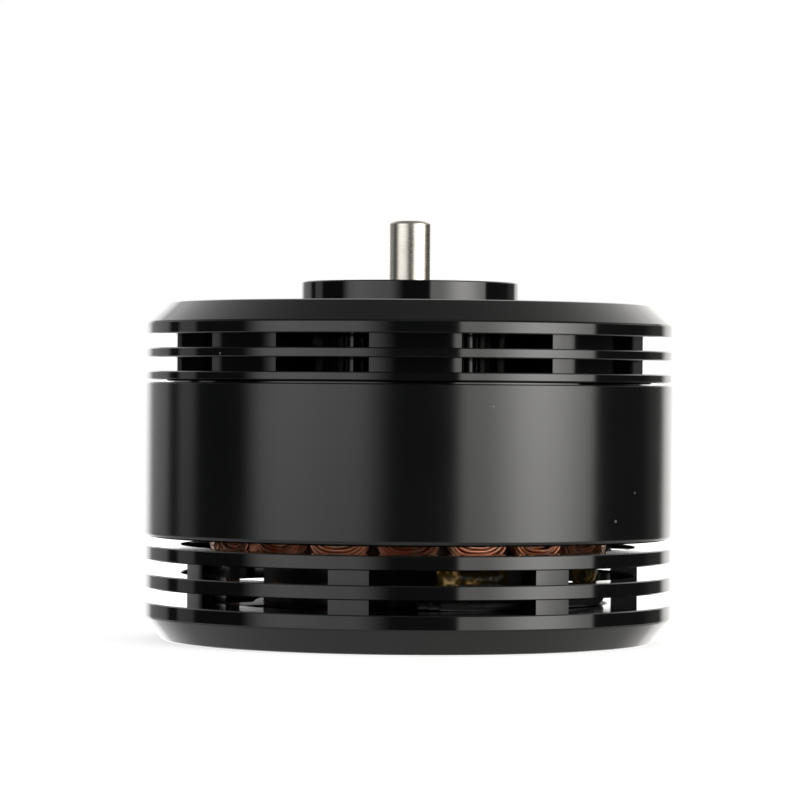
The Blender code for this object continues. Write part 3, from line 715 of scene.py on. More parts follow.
def paper_finish():
    """Brown varnished paper, blotchy where the varnish soaked in."""
    material, tree, shader = surface("varnished_paper", (0.08, 0.032, 0.017), 0.5, ior=1.45)
    place = tree.add("ShaderNodeTexCoord")["Object"]
    blotches = tree.noise(place, 500.0, 3.0, 0.6)
    pale, dark = (0.12, 0.045, 0.025, 1), (0.05, 0.022, 0.012, 1)
    feed(
        tree, shader,
        Base_Color=tree.mix_colour(blotches.ramp(0.3, 0.7), pale, dark),
        Roughness=blotches.ramp(0.3, 0.7, 0.4, 0.6),
    )
    return material


copper_wire = copper_finish()
deep_copper = shaded_copper_finish()
core_coating = coating_finish()
amber_tape = tape_finish()
woven_sleeve = sleeve_finish()
varnished_paper = paper_finish()
print("copper, coating, tape, sleeve and paper ready")

# %% [markdown]
# A finished piece is shaded smooth, with its real edges kept sharp, and is then handed over: it
# rides on a body and stands for the coarse nodes.

# %% Hand a piece over
def hand_over(piece, material, body, slot, *nodes, sharp=True):
    """Gives the piece its finish and its body, and hides the coarse nodes that it stands for."""
    if material is not None:
        piece.data.materials.clear()
        piece.data.materials.append(material)
    piece.data.shade_smooth()
    if sharp:
        piece.data.set_sharp_from_angle(angle=SHARP_ANGLE)
    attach(piece, body)
    if nodes:
        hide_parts(*nodes)
    triangles = sum(len(face.vertices) - 2 for face in piece.data.polygons)
    print(f"{piece.name}: {triangles} triangles on {body}")


# %% [markdown]
# ## Base
# The base is one piece of aluminium. The foot plate, the hub pad and the bearing tube are one turned
# outline. The two fins are rings that only the seven pillars hold, so that air gets in all round,
# and light shows through between them. Seven slots in the plate let air in from below.

# %% Turn the foot, the hub and the tube
def base_outline():
    """From the bearing bore round the foot and up the tube."""
    lower_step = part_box("lower_bearing_outer_ring")[1].z + FIT_GAP
    upper_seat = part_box("upper_bearing_outer_ring")[0].z - FIT_GAP
    shoulder = bearing_bore - TUBE_SHOULDER
    core_seat = core_bottom - FIT_GAP
    pad_top = PLATE_HEIGHT + HUB_PAD_HEIGHT
    seat_radius = tube_radius + CORE_SEAT_WIDTH
    return [
        (bearing_bore, 0), (body_radius - FOOT_CHAMFER[0], 0), (body_radius, FOOT_CHAMFER[1]),
        (body_radius, PLATE_HEIGHT), (HUB_PAD_RADIUS, PLATE_HEIGHT), (HUB_PAD_RADIUS, pad_top),
        (seat_radius, pad_top), (seat_radius, core_seat), (tube_radius, core_seat),
        (tube_radius, tube_top), (bearing_bore, tube_top), (bearing_bore, upper_seat),
        (shoulder, upper_seat), (shoulder, lower_step), (bearing_bore, lower_step),
    ]


def fin_ring(name, inner, bottom, top):
    """A thin fin with its edges broken."""
    outline = [(inner, bottom), (body_radius, bottom), (body_radius, top), (inner, top)]
    return turned(name, broken(outline))


def pillar(name, inner, outer, middle, span, bottom, top):
    """A block between two radii and two angles."""
    angles = steps(middle - span / 2, middle + span / 2)
    rim = [on_circle(outer, a).xy for a in angles] + [on_circle(inner, a).xy for a in reversed(angles)]
    return block(name, rim, bottom, top)


base = turned("machined_base", broken(base_outline()))
base_pitch = math.tau / BASE_PILLAR_COUNT
posts = [
    pillar(
        f"post_{i}", base_pillar_inner, base_groove_radius, BASE_PILLAR_START + i * base_pitch,
        BASE_PILLAR_SPAN, PLATE_HEIGHT - OVERLAP, base_top - OVERLAP,
    )
    for i in range(BASE_PILLAR_COUNT)
]
base_fins = []
for i in range(BASE_FIN_COUNT):
    low = PLATE_HEIGHT + (i + 1) * BASE_GROOVE + i * BASE_FIN
    base_fins.append(fin_ring(f"fin_{i}", base_groove_radius - OVERLAP, low, low + BASE_FIN))
base = combined(base, posts, "UNION")
base = combined(base, base_fins, "UNION")
print("base turned:", len(base.data.polygons), "faces")

# %% Mill the slots, the holes and the lead exit
def lead_exit():
    """The notch through the fins at the back, where the phase leads leave."""
    low = PLATE_HEIGHT - LEAD_EXIT_DEPTH
    corner = LEAD_EXIT_CORNER
    right = []
    for angle in steps(0, math.pi / 2, math.radians(10)):
        across = LEAD_EXIT_HALF - corner + corner * math.sin(angle)
        right.append((across, low + corner - corner * math.cos(angle)))
    high = base_top + CUT_MARGIN
    face = right + [(LEAD_EXIT_HALF, high), (-LEAD_EXIT_HALF, high)] + [(-x, z) for x, z in right[::-1]]
    rings = [[(x, -r, z) for x, z in face] for r in (base_pillar_inner, body_radius + CUT_MARGIN)]
    rear = BASE_PILLAR_START + (BASE_PILLAR_COUNT // 2 + 0.5) * base_pitch
    return turn_to(lofted("lead_exit", rings), rear)


def screw_holes(circle, face, depth):
    """Cutters for the four screw holes on one circle."""
    return [hole_cutter(f"hole_{i}", circle, a, face, depth) for i, a in enumerate(hole_angles)]


hole_angles = [math.radians(45 + 90 * i) for i in range(HOLE_COUNT)]
cuts = [
    slot_cutter(
        f"vent_{i}", HUB_PAD_RADIUS + VENT_MARGIN, VENT_WIDTH, BASE_PILLAR_START + (i + 0.5) * base_pitch,
        base_pitch - BASE_SPOKE_SPAN, 0, PLATE_HEIGHT,
    )
    for i in range(BASE_PILLAR_COUNT)
]
cuts += screw_holes(MOUNT_CIRCLE, 0, MOUNT_HOLE_DEPTH)
cuts.append(lead_exit())
base = combined(base, cuts, "DIFFERENCE")
hand_over(base, black_anodised, "stator", "anodised_black", "base")

# %% [markdown]
# ## Bell cap
# The cap is turned from the solid too: a boss for the propeller adapter, a top disc with a wide
# chamfer, one free fin and the fin that sits on the flux ring. Eight pillars hold them, each with a
# rib that runs in to the hub. The slots in the top draw air through the motor.

# %% Turn the cap
def cap_outline():
    """From the hub's nose over its lip, out under the disc and back over the boss."""
    nose_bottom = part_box("bell_shim")[1].z + FIT_GAP
    hub_bottom = nose_bottom + HUB_NOSE
    return [
        (shaft_bore, nose_bottom), (inner_ring_radius, nose_bottom), (inner_ring_radius, hub_bottom),
        (HUB_RADIUS - HUB_LIP, hub_bottom), (HUB_RADIUS - HUB_LIP, rib_bottom), (HUB_RADIUS, rib_bottom),
        (HUB_RADIUS, under_disc), (cap_pillar_inner, under_disc),
        (cap_pillar_inner, disc_bottom), (body_radius, disc_bottom),
        (body_radius, cap_top - CAP_CHAMFER[1]), (body_radius - CAP_CHAMFER[0], cap_top),
        (BOSS_RADIUS, cap_top), (BOSS_RADIUS, boss_top), (shaft_bore, boss_top),
    ]


def seat_outline():
    """The fin that lies on the flux ring, and the spigot that fits inside the ring."""
    outer = ring_inner - FIT_GAP
    bottom = ring_top - MAGNET_INSET + FIT_GAP
    return [
        (outer - SPIGOT_WALL, bottom), (outer, bottom), (outer, seat_bottom),
        (body_radius, seat_bottom), (body_radius, seat_top), (outer - SPIGOT_WALL, seat_top),
    ]


def rib_outline():
    """A rib from the hub to a pillar. Quarter rounds, left by the mill, widen it at both ends."""
    wide = RIB_THICKNESS / 2 + RIB_CORNER
    root = math.sqrt(HUB_RADIUS**2 - wide**2)
    tip = math.sqrt(cap_pillar_inner**2 - wide**2)
    quarter = steps(0, math.pi / 2, math.radians(9))
    corner = [(wide - RIB_CORNER * math.sin(a), RIB_CORNER * (1 - math.cos(a))) for a in quarter]
    right = [(wide, root - OVERLAP)]
    right += [(x, root + reach) for x, reach in corner]
    right += [(x, tip - reach) for x, reach in corner[::-1]]
    right.append((wide, cap_pillar_inner + 2 * OVERLAP))
    return [(x, -reach) for x, reach in right] + [(-x, -reach) for x, reach in right[::-1]]


cap = turned("machined_bell_cap", broken(cap_outline()))
cap_pitch = math.tau / CAP_PILLAR_COUNT
posts = []
for i in range(CAP_PILLAR_COUNT):
    angle = CAP_PILLAR_START + i * cap_pitch
    posts.append(pillar(
        f"post_{i}", cap_pillar_inner + OVERLAP, cap_groove_radius, angle, CAP_PILLAR_SPAN,
        seat_top - OVERLAP, disc_bottom + OVERLAP,
    ))
    posts.append(turn_to(block(f"rib_{i}", rib_outline(), rib_bottom, under_disc + OVERLAP), angle))
cap_fins = [turned("seat_fin", broken(seat_outline()))]
for i in range(CAP_FIN_COUNT):
    low = seat_top + (i + 1) * CAP_GROOVE + i * CAP_FIN
    cap_fins.append(fin_ring(f"cap_fin_{i}", cap_groove_radius - OVERLAP, low, low + CAP_FIN))
cap = combined(cap, posts, "UNION")
cap = combined(cap, cap_fins, "UNION")
print("cap turned:", len(cap.data.polygons), "faces")

# %% Mill the intakes and the adapter holes
cuts = [
    slot_cutter(
        f"intake_{i}", BOSS_RADIUS + INTAKE_MARGIN, INTAKE_WIDTH, CAP_PILLAR_START + (i + 0.5) * cap_pitch,
        cap_pitch - CAP_SPOKE_SPAN, under_disc, cap_top,
    )
    for i in range(CAP_PILLAR_COUNT)
]
cuts += screw_holes(ADAPTER_CIRCLE, boss_top, -ADAPTER_HOLE_DEPTH)
cap = combined(cap, cuts, "DIFFERENCE")
hand_over(cap, black_anodised, "rotor", "anodised_black", "bell_cap")

# %% [markdown]
# ## Flux ring and shaft
# The ring is a plain steel tube with a coat that is softer than the anodising, so that its mirror
# images have soft edges. Its lower edge is rounded, and mirrors the light from below as a thin grey
# line. The shaft is ground, with a groove for the clip near its lower end.

# %% Turn the flux ring
round_edge = [
    (body_radius - RING_EDGE * (1 - math.sin(a)), ring_bottom + RING_EDGE * (1 - math.cos(a)))
    for a in steps(0, math.pi / 2, math.radians(9))
]
ring = turned("coated_flux_ring", broken([
    (ring_inner, ring_bottom), *round_edge, (body_radius, ring_top), (ring_inner, ring_top),
]))
hand_over(ring, black_ring_coat, "rotor", "ring_black", "flux_ring")

# %% Turn the shaft
SHAFT_CHAMFER = 0.0003
CLIP_GROOVE_DEPTH = 0.0005
groove = shaft_radius - CLIP_GROOVE_DEPTH
shaft = turned("ground_shaft", broken([
    (0, shaft_bottom), (shaft_radius - SHAFT_CHAMFER, shaft_bottom),
    (shaft_radius, shaft_bottom + SHAFT_CHAMFER),
    (shaft_radius, clip_bottom - FIT_GAP), (groove, clip_bottom - FIT_GAP),
    (groove, clip_top + FIT_GAP), (shaft_radius, clip_top + FIT_GAP),
    (shaft_radius, shaft_top - SHAFT_CHAMFER), (shaft_radius - SHAFT_CHAMFER, shaft_top), (0, shaft_top),
], FINE_EDGE), SMALL_SIDES)
hand_over(shaft, polished_steel, "rotor", "polished_shaft", "shaft")

# %% [markdown]
# ## Geometry Nodes for what repeats
# Magnets, threads and the deeper turns of the coils repeat round the axis. One small tree does that
# for any piece that is made at the front: it puts a copy at each angle, and then makes the copies
# real, because an instance would be lost in an export.

# %% Grow a mesh from a tree
def geometry_tree(name, inputs):
    """An empty Geometry Nodes tree with named inputs. Gives the tree and its group input."""
    group = bpy.data.node_groups.new(name, "GeometryNodeTree")
    group.interface.new_socket("Geometry", in_out="OUTPUT", socket_type="NodeSocketGeometry")
    for label, kind in inputs.items():
        group.interface.new_socket(label, in_out="INPUT", socket_type=f"NodeSocket{kind}")
    tree = Tree(group)
    return tree, tree.add("NodeGroupInput")


def end_tree(tree, geometry, material, smooth=True):
    """Closes a tree: real copies, smooth shading and one finish."""
    real = tree.add("GeometryNodeRealizeInstances", None, {"Geometry": geometry})["Geometry"]
    shading = {"Geometry": real, "Shade Smooth": smooth}
    shaded = tree.add("GeometryNodeSetShadeSmooth", None, shading)["Geometry"]
    finish = {"Geometry": shaded, "Material": material}
    final = tree.add("GeometryNodeSetMaterial", None, finish)["Geometry"]
    tree.add("NodeGroupOutput", None, {"Geometry": final})


def swept(tree, curve, sides, radius):
    """The closed tube that a circle leaves along a curve."""
    circle = {"Resolution": sides, "Radius": radius}
    profile = tree.add("GeometryNodeCurvePrimitiveCircle", None, circle)["Curve"]
    sockets = {"Curve": curve, "Profile Curve": profile, "Fill Caps": True}
    return tree.add("GeometryNodeCurveToMesh", None, sockets)["Mesh"]


def grow(name, tree, values):
    """A plain mesh object that a tree makes from these values."""
    made = add_object(name, bpy.data.meshes.new(name))
    step = made.modifiers.new("Grow", "NODES")
    step.node_group = tree.tree
    for item in tree.tree.interface.items_tree:
        if item.in_out == "INPUT":
            step[item.identifier] = values[item.name]
    bpy.context.view_layer.update()
    mesh = bpy.data.meshes.new_from_object(made.evaluated_get(bpy.context.evaluated_depsgraph_get()))
    bpy.data.objects.remove(made)
    return add_object(name, mesh)


# %% Copies round the axis
def copies_tree():
    """Copies of a piece that was made at the front, evenly round the axis."""
    tree, given = geometry_tree("copies_round_the_axis", {
        "Piece": "Object", "Count": "Int", "First Angle": "Float", "Finish": "Material",
    })
    row = tree.add("GeometryNodePoints", None, {"Count": given["Count"]})["Points"]
    number = tree.add("GeometryNodeInputIndex")["Index"]
    angle = given["First Angle"] + number * math.tau / given["Count"]
    piece = tree.add("GeometryNodeObjectInfo", {"transform_space": "ORIGINAL"}, {"Object": given["Piece"]})
    placed = tree.add("GeometryNodeInstanceOnPoints", None, {
        "Points": row, "Instance": piece["Geometry"], "Rotation": tree.vector(z=angle),
    })
    end_tree(tree, placed["Instances"], given["Finish"])
    return tree


copies = copies_tree()


def copied_round(name, piece, count, first_angle, material):
    """Copies a piece round the axis and removes the first one."""
    made = grow(name, copies, {
        "Piece": piece, "Count": count, "First Angle": first_angle, "Finish": material,
    })
    bpy.data.objects.remove(piece)
    return made


print("copies tree ready")

# %% Magnets
MAGNET_EDGE = 0.00025
half_magnet = magnet_inner * math.tan(math.pi / MAGNET_COUNT) - MAGNET_SPACING / 2
magnet = block("magnet", [
    (-half_magnet, -ring_inner + FINE_EDGE), (half_magnet, -ring_inner + FINE_EDGE),
    (half_magnet, -magnet_inner), (-half_magnet, -magnet_inner),
], ring_bottom + MAGNET_INSET, ring_top - MAGNET_INSET)
soften = magnet.modifiers.new("Edges", "BEVEL")
soften.width = MAGNET_EDGE
soften.segments = 2
magnet = plain(magnet, "magnet")
magnets = copied_round("magnets", magnet, MAGNET_COUNT, math.pi / MAGNET_COUNT, magnet_plating)
hand_over(magnets, None, "rotor", None)

# %% Threads in the screw holes
THREAD_DEPTH = 0.00024
THREAD_STEPS = 32
THREAD_START = 0.0005
RIDGE_SIDES = 3


def thread_tree():
    """A helix with a small triangular ridge, as the thread inside a tapped hole."""
    tree, given = geometry_tree("tapped_thread", {
        "Radius": "Float", "Turns": "Float", "Height": "Float", "Depth": "Float",
        "Place": "Vector", "Finish": "Material",
    })
    helix = tree.add("GeometryNodeCurveSpiral", None, {
        "Resolution": THREAD_STEPS, "Rotations": given["Turns"], "Start Radius": given["Radius"],
        "End Radius": given["Radius"], "Height": given["Height"],
    })["Curve"]
    ridge = swept(tree, helix, RIDGE_SIDES, given["Depth"])
    moved = tree.add("GeometryNodeTransform", None, {"Geometry": ridge, "Translation": given["Place"]})
    end_tree(tree, moved["Geometry"], given["Finish"], smooth=False)
    return tree


threads = thread_tree()


def tapped(name, circle, bottom, height, body):
    """The threads of the four screw holes on one circle."""
    one = grow("thread", threads, {
        "Radius": HOLE_RADIUS, "Turns": height / THREAD_PITCH, "Height": height, "Depth": THREAD_DEPTH,
        "Place": (0, -circle, bottom), "Finish": black_anodised,
    })
    made = copied_round(name, one, HOLE_COUNT, hole_angles[0], black_anodised)
    hand_over(made, None, body, "anodised_black")


tapped("foot_threads", MOUNT_CIRCLE, THREAD_START, MOUNT_HOLE_DEPTH - 3 * THREAD_START, "stator")
boss_thread = ADAPTER_HOLE_DEPTH - 3 * THREAD_START
tapped("boss_threads", ADAPTER_CIRCLE, boss_top - THREAD_START - boss_thread, boss_thread, "rotor")

# %% [markdown]
# ## Windings
# Each tooth carries a coil of thin enamelled wire. A turn runs straight up the slots and bends over
# the ends of the tooth like a bowl, and the turns lie side by side from the yoke to the shoe. At the
# shoe they get smaller and smaller, so the end of a coil shows them nested. Wound by
# hand they are never quite parallel: each crosses the end of the tooth at its own slant. The tree
# works out every point of every wire from its number, so all the coils of a phase are one set of
# curves, swept by a small circle. Every third tooth belongs to the same phase.

# %% The winding tree
WIRE_DIAMETER = 0.00042
TURN_POINTS = 40
WIRE_SIDES = 6
PHASE_COUNT = 3
STRAIGHT_SHARE = 0.2
BOWL_POWER = 0.75
ROUNDING_GUARD = 0.0001
COIL_EDGE = 0.0009
COIL_SPACING = 0.0006
TOP_END_TURN = 0.00235
LEAD_END_TURN = 0.0038
YOKE_END_TURN_SHARE = 0.47
coil_shoulder = coil_outer - COIL_EDGE


def winding_tree():
    """All the wires of one phase's coils."""
    tree, given = geometry_tree("phase_winding", {
        "Phase": "Int", "Coils": "Int", "Turns": "Int", "Face Turns": "Int", "Turn Points": "Int",
        "Wire Radius": "Float", "Inner": "Float", "Shoulder": "Float", "Outer": "Float",
        "Pitch Angle": "Float", "Side Gap": "Float", "Middle": "Float", "Half Core": "Float",
        "Top Rise": "Float", "Lead Rise": "Float", "Yoke Share": "Float", "Slant": "Float",
        "Finish": "Material",
    })
    wire = given["Wire Radius"]
    all_turns = given["Turns"] + given["Face Turns"]
    count = all_turns * given["Turn Points"]
    line = tree.add("GeometryNodeCurvePrimitiveLine", None, {"End": (1, 0, 0)})["Curve"]
    strand = tree.add("GeometryNodeResampleCurve", None, {"Curve": line, "Count": count})["Curve"]
    row = tree.add("GeometryNodePoints", None, {"Count": given["Coils"]})["Points"]
    placed = tree.add("GeometryNodeInstanceOnPoints", None, {"Points": row, "Instance": strand})
    wires = tree.add("GeometryNodeRealizeInstances", None, {"Geometry": placed["Instances"]})["Geometry"]

    index = tree.add("GeometryNodeInputIndex")["Index"]
    coil = (index / count + ROUNDING_GUARD).floor()
    turn = (index - coil * count) / given["Turn Points"]
    tooth = coil * PHASE_COUNT + given["Phase"]
    outward = (turn / given["Turns"]).at_most(1.0)
    inset = (turn - given["Turns"]).at_least(0.0) * wire * 2
    loop = turn * math.tau
    across = loop.cosine()
    upward = loop.sine()

    radius = given["Inner"] + (given["Outer"] - given["Inner"]) * outward
    room = radius.at_most(given["Shoulder"]) * (given["Pitch Angle"] / 2).tangent() - given["Side Gap"]
    half_width = room - wire - inset
    tallest = given["Lead Rise"] + (given["Top Rise"] - given["Lead Rise"]) * (upward.sign() + 1) / 2
    yoke_rise = tallest * given["Yoke Share"]
    climb = ((radius - given["Inner"]) / (given["Shoulder"] - given["Inner"])).at_most(1.0)
    drop = (radius - given["Shoulder"]).at_least(0.0)
    rise = yoke_rise + (tallest - yoke_rise) * climb - drop
    bowl = (rise - wire * 2 - inset).at_least(wire)

    quarter = upward.size().arcsine() / (math.pi / 2)
    along = (quarter / STRAIGHT_SHARE).at_most(1.0)
    bend = ((quarter - STRAIGHT_SHARE) / (1 - STRAIGHT_SHARE)).at_least(0.0) * math.pi / 2
    side = across.sign() * bend.cosine().at_least(0.0) ** BOWL_POWER
    end = bend.sine() ** BOWL_POWER
    wander = tree.noise(tree.vector(turn * 0.9, tooth * 7.3, 0.0), 1.0, 1.0)
    tilt = tree.noise(tree.vector(turn * 0.7, tooth * 5.1, 9.0), 1.0, 1.0)
    lean = side * (tilt - 0.5) * given["Slant"] * end
    x = side * half_width
    z = upward.sign() * (given["Half Core"] * along + bowl * end) + lean
    r = radius + side * (wander - 0.5) * given["Slant"] * end

    angle = tooth * given["Pitch Angle"]
    place = tree.vector(
        angle.sine() * r + angle.cosine() * x,
        angle.sine() * x - angle.cosine() * r,
        z + given["Middle"],
    )
    shaped = tree.add("GeometryNodeSetPosition", None, {"Geometry": wires, "Position": place})["Geometry"]
    end_tree(tree, swept(tree, shaped, WIRE_SIDES, wire), given["Finish"])
    return tree


winding = winding_tree()
print("winding tree ready:", len(winding.tree.nodes), "nodes")

# %% Wind the three phases
WIRE_SLANT = 0.0012
FACE_TURNS = 5
wire_radius = WIRE_DIAMETER / 2
core_middle = (core_bottom + core_top) / 2
half_core = (core_top - core_bottom) / 2 + FIT_GAP
turn_count = int((coil_outer - coil_inner) / WIRE_DIAMETER) - 1
phase_names = ("first", "second", "third")
for phase, phase_name in enumerate(phase_names):
    coil_numbers = [i for i in range(TOOTH_COUNT) if i % PHASE_COUNT == phase]
    wound = grow(f"{phase_name}_phase_winding", winding, {
        "Phase": phase, "Coils": len(coil_numbers), "Turns": turn_count, "Face Turns": FACE_TURNS,
        "Turn Points": TURN_POINTS, "Wire Radius": wire_radius, "Inner": coil_inner + 2 * wire_radius,
        "Shoulder": coil_shoulder - wire_radius, "Outer": coil_outer - 3 * wire_radius,
        "Pitch Angle": math.tau / TOOTH_COUNT, "Side Gap": COIL_SPACING / 2, "Middle": core_middle,
        "Half Core": half_core, "Top Rise": TOP_END_TURN, "Lead Rise": LEAD_END_TURN,
        "Yoke Share": YOKE_END_TURN_SHARE, "Slant": WIRE_SLANT, "Finish": copper_wire,
    })
    hand_over(
        wound, None, "stator", "copper_wire", *[f"coil_{i + 1:02}" for i in coil_numbers], sharp=False
    )

# %% [markdown]
# Under the outer turns lie the deeper ones. They only show between the wires, where they lie in
# shade, so one plain block a coil, smaller by a few wires, stands for them, in a copper painted dark
# as painted shade. A strip of varnished paper under the core fills the gaps between the coils' ends.

# %% The deeper turns
def end_turn(radius, tallest):
    """How far the end turns stand past the core at a radius."""
    climb = min(1, (radius - coil_inner) / (coil_shoulder - coil_inner))
    yoke = tallest * YOKE_END_TURN_SHARE
    return yoke + (tallest - yoke) * climb - max(0, radius - coil_shoulder)


def deep_coil():
    """The block of deeper turns on the front tooth."""
    half_hole = TOOTH_WIDTH / 2 + FIT_GAP
    inset = 2 * wire_radius
    bends = [math.radians(angle) for angle in (0, 18, 36, 54, 72, 90)]
    rings = []
    for radius in (coil_inner + inset, coil_shoulder - inset, coil_outer - 3 * inset):
        half = min(radius, coil_shoulder) * math.tan(math.pi / TOOTH_COUNT) - COIL_SPACING / 2 - inset
        ring = []
        for way, tallest in ((1, TOP_END_TURN), (-1, LEAD_END_TURN)):
            bowl = end_turn(radius, tallest) - 3 * inset
            corner = [
                (half * max(0, math.cos(a)) ** BOWL_POWER, half_core + bowl * math.sin(a) ** BOWL_POWER)
                for a in bends
            ]
            arch = corner + [(-x, z) for x, z in corner[-2::-1]]
            ring += [(way * x, way * z) for x, z in arch]
        rings.append([(x, -radius, core_middle + z) for x, z in ring])
    solid = lofted("deep_coil", rings)
    hole = [(x * half_hole, z * half_core) for x, z in ((-1, -1), (1, -1), (1, 1), (-1, 1))]
    ends = (coil_inner - CUT_MARGIN, coil_outer + CUT_MARGIN)
    cutter = lofted("hole", [[(x, -r, core_middle + z) for x, z in hole] for r in ends])
    return combined(solid, [cutter], "DIFFERENCE")


deeper = copied_round("deeper_turns", deep_coil(), TOOTH_COUNT, 0.0, deep_copper)
hand_over(deeper, None, "stator", "copper_wire")

# %% The paper between the coils
SLOT_PAPER_RADIUS = 0.0218
SLOT_PAPER_THICKNESS = 0.0002
SLOT_PAPER_INSET = 0.0008
paper_inner = SLOT_PAPER_RADIUS - SLOT_PAPER_THICKNESS
paper_bottom = coil_bottom + SLOT_PAPER_INSET
paper_top = core_bottom - FIT_GAP
slot_paper = turned("slot_paper", [
    (paper_inner, paper_bottom), (SLOT_PAPER_RADIUS, paper_bottom),
    (SLOT_PAPER_RADIUS, paper_top), (paper_inner, paper_top),
], SMALL_SIDES)
hand_over(slot_paper, varnished_paper, "stator", None)

# %% [markdown]
# ## Core
# The core is a stack of thin steel sheets, coated green. Its outline is worked out tooth by tooth:
# a straight neck, and a shoe whose face follows the air gap.

# %% Core outline and stack
def core_outline():
    """One closed outline round all the teeth."""
    half_neck = TOOTH_WIDTH / 2
    half_shoe = math.pi * CORE_RADIUS / TOOTH_COUNT - SLOT_MOUTH / 2
    face = math.asin(half_shoe / CORE_RADIUS)
    rim = []
    for i in range(TOOTH_COUNT):
        angle = i * math.tau / TOOTH_COUNT
        out = on_circle(1, angle)
        along = Vector((-out.y, out.x, 0))
        neck = [
            (math.sqrt(YOKE_RADIUS**2 - half_neck**2), half_neck), (CORE_RADIUS - SHOE_HEIGHT, half_neck),
            (CORE_RADIUS - SHOE_EDGE, half_shoe),
        ]
        rim += [(out * r - along * w).xy for r, w in neck]
        rim += [on_circle(CORE_RADIUS, angle + a).xy for a in steps(-face, face)]
        rim += [(out * r + along * w).xy for r, w in neck[::-1]]
    return rim


core = block("coated_core_stack", core_outline(), core_bottom, core_top)
bore = turned("bore", [
    (0, core_bottom - CUT_MARGIN), (tube_radius + FIT_GAP, core_bottom - CUT_MARGIN),
    (tube_radius + FIT_GAP, core_top + CUT_MARGIN), (0, core_top + CUT_MARGIN),
])
core = combined(core, [bore], "DIFFERENCE")
hand_over(core, core_coating, "stator", "coated_core", "stator_core")

# %% [markdown]
# ## Lead joints
# The wire ends are soldered to the phase leads and wrapped in amber film tape. A wrap follows an arc
# on the foot plate, so a tree sweeps a circle along an arc and pushes the skin in and out by noise
# and by Voronoi cells, which leaves the creases that crumpled film has.

# %% Wrap the lead joints
WRAP_SIDES = 18
WRAP_POINTS = 44
WRAP_CIRCLE = 0.0215
WRAP_SPAN = math.radians(22)
CREASE_DEPTH = 0.001
CELL_SCALE = 700.0
FOLD_SCALE = 420.0
FOLD_SHARE = 0.6


def wrap_tree():
    """A crumpled tube along an arc at the front."""
    tree, given = geometry_tree("crumpled_wrap", {
        "Circle": "Float", "Radius": "Float", "Span": "Float", "Height": "Float", "First": "Float",
        "Creases": "Float", "Finish": "Material",
    })
    arc = tree.add("GeometryNodeCurveArc", {"mode": "RADIUS"}, {
        "Resolution": WRAP_POINTS, "Radius": given["Circle"],
        "Start Angle": given["First"] - given["Span"] / 2 - math.pi / 2, "Sweep Angle": given["Span"],
    })["Curve"]
    tube = swept(tree, arc, WRAP_SIDES, given["Radius"] - given["Creases"] / 2)
    lifted = tree.add("GeometryNodeTransform", None, {
        "Geometry": tube, "Translation": tree.vector(z=given["Height"]),
    })["Geometry"]
    place = tree.add("GeometryNodeInputPosition")["Position"]
    cells = tree.add("ShaderNodeTexVoronoi", None, {"Vector": place, "Scale": CELL_SCALE})["Distance"]
    folds = tree.noise(place, FOLD_SCALE, 2.0)
    depth = (folds * FOLD_SHARE + cells * (1 - FOLD_SHARE) - 0.5) * given["Creases"]
    normal = tree.add("GeometryNodeInputNormal")["Normal"]
    push = tree.add("ShaderNodeVectorMath", {"operation": "SCALE"}, {0: normal, "Scale": depth})["Vector"]
    crumpled = tree.add("GeometryNodeSetPosition", None, {"Geometry": lifted, "Offset": push})["Geometry"]
    end_tree(tree, crumpled, given["Finish"], smooth=False)
    return tree


wraps = wrap_tree()
for i in range(1, 4):
    low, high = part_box(f"lead_joint_wrap_{i}")
    middle = (low + high) / 2
    wrap = grow(f"taped_lead_joint_{i}", wraps, {
        "Circle": WRAP_CIRCLE, "Radius": (high.z - low.z) / 2, "Span": WRAP_SPAN,
        "Height": middle.z, "First": math.atan2(middle.x, -middle.y), "Creases": CREASE_DEPTH,
        "Finish": amber_tape,
    })
    hand_over(wrap, None, "stator", "yellow_tape", f"lead_joint_wrap_{i}", sharp=False)

# %% [markdown]
# The ends of the windings are gathered in woven sleeves, which lie on the foot plate under the taped
# joints and follow it round to the back.

# %% Lay the sleeved winding ends
SLEEVE_RADIUS = 0.0006
SLEEVE_CIRCLES = (0.0203, 0.0216, 0.0229)
SLEEVE_START = math.radians(3)
SLEEVE_END = math.radians(146)
SLEEVE_STAGGER = (math.radians(3), math.radians(4))
SLEEVE_CLEARANCE = 0.0001
SLEEVE_WANDER = 0.00008
SLEEVE_SIDES = 16


def sleeve_rings(circle, number):
    """Rings of points along one sleeve, which wanders a little to the sides, up and down."""
    start = SLEEVE_START + SLEEVE_STAGGER[0] * number
    end = SLEEVE_END - SLEEVE_STAGGER[1] * number
    lowest = PLATE_HEIGHT + SLEEVE_RADIUS + SLEEVE_CLEARANCE
    rings = []
    for angle in steps(start, end):
        centre = circle + SLEEVE_WANDER * math.sin(5 * angle + 2 * number)
        height = lowest + SLEEVE_WANDER * math.sin(7 * angle + number)
        ring = []
        for i in range(SLEEVE_SIDES):
            turn = math.tau * i / SLEEVE_SIDES
            reach = centre + SLEEVE_RADIUS * math.cos(turn)
            ring.append(on_circle(reach, angle, height + SLEEVE_RADIUS * math.sin(turn)))
        rings.append(ring)
    return rings


for number, circle in enumerate(SLEEVE_CIRCLES):
    sleeve = lofted(f"sleeved_winding_end_{number + 1}", sleeve_rings(circle, number))
    hand_over(sleeve, woven_sleeve, "stator", None, sharp=False)

# %% [markdown]
# ## Bearings and small steel pieces
# Seen from below, the lower bearing, its shield, the washer and the clip fill the bore in the foot.
# Each is turned from its own outline, between the limits that its node's box gives.

# %% Bearing rings and shields
OUTER_RING_WALL = 0.0017


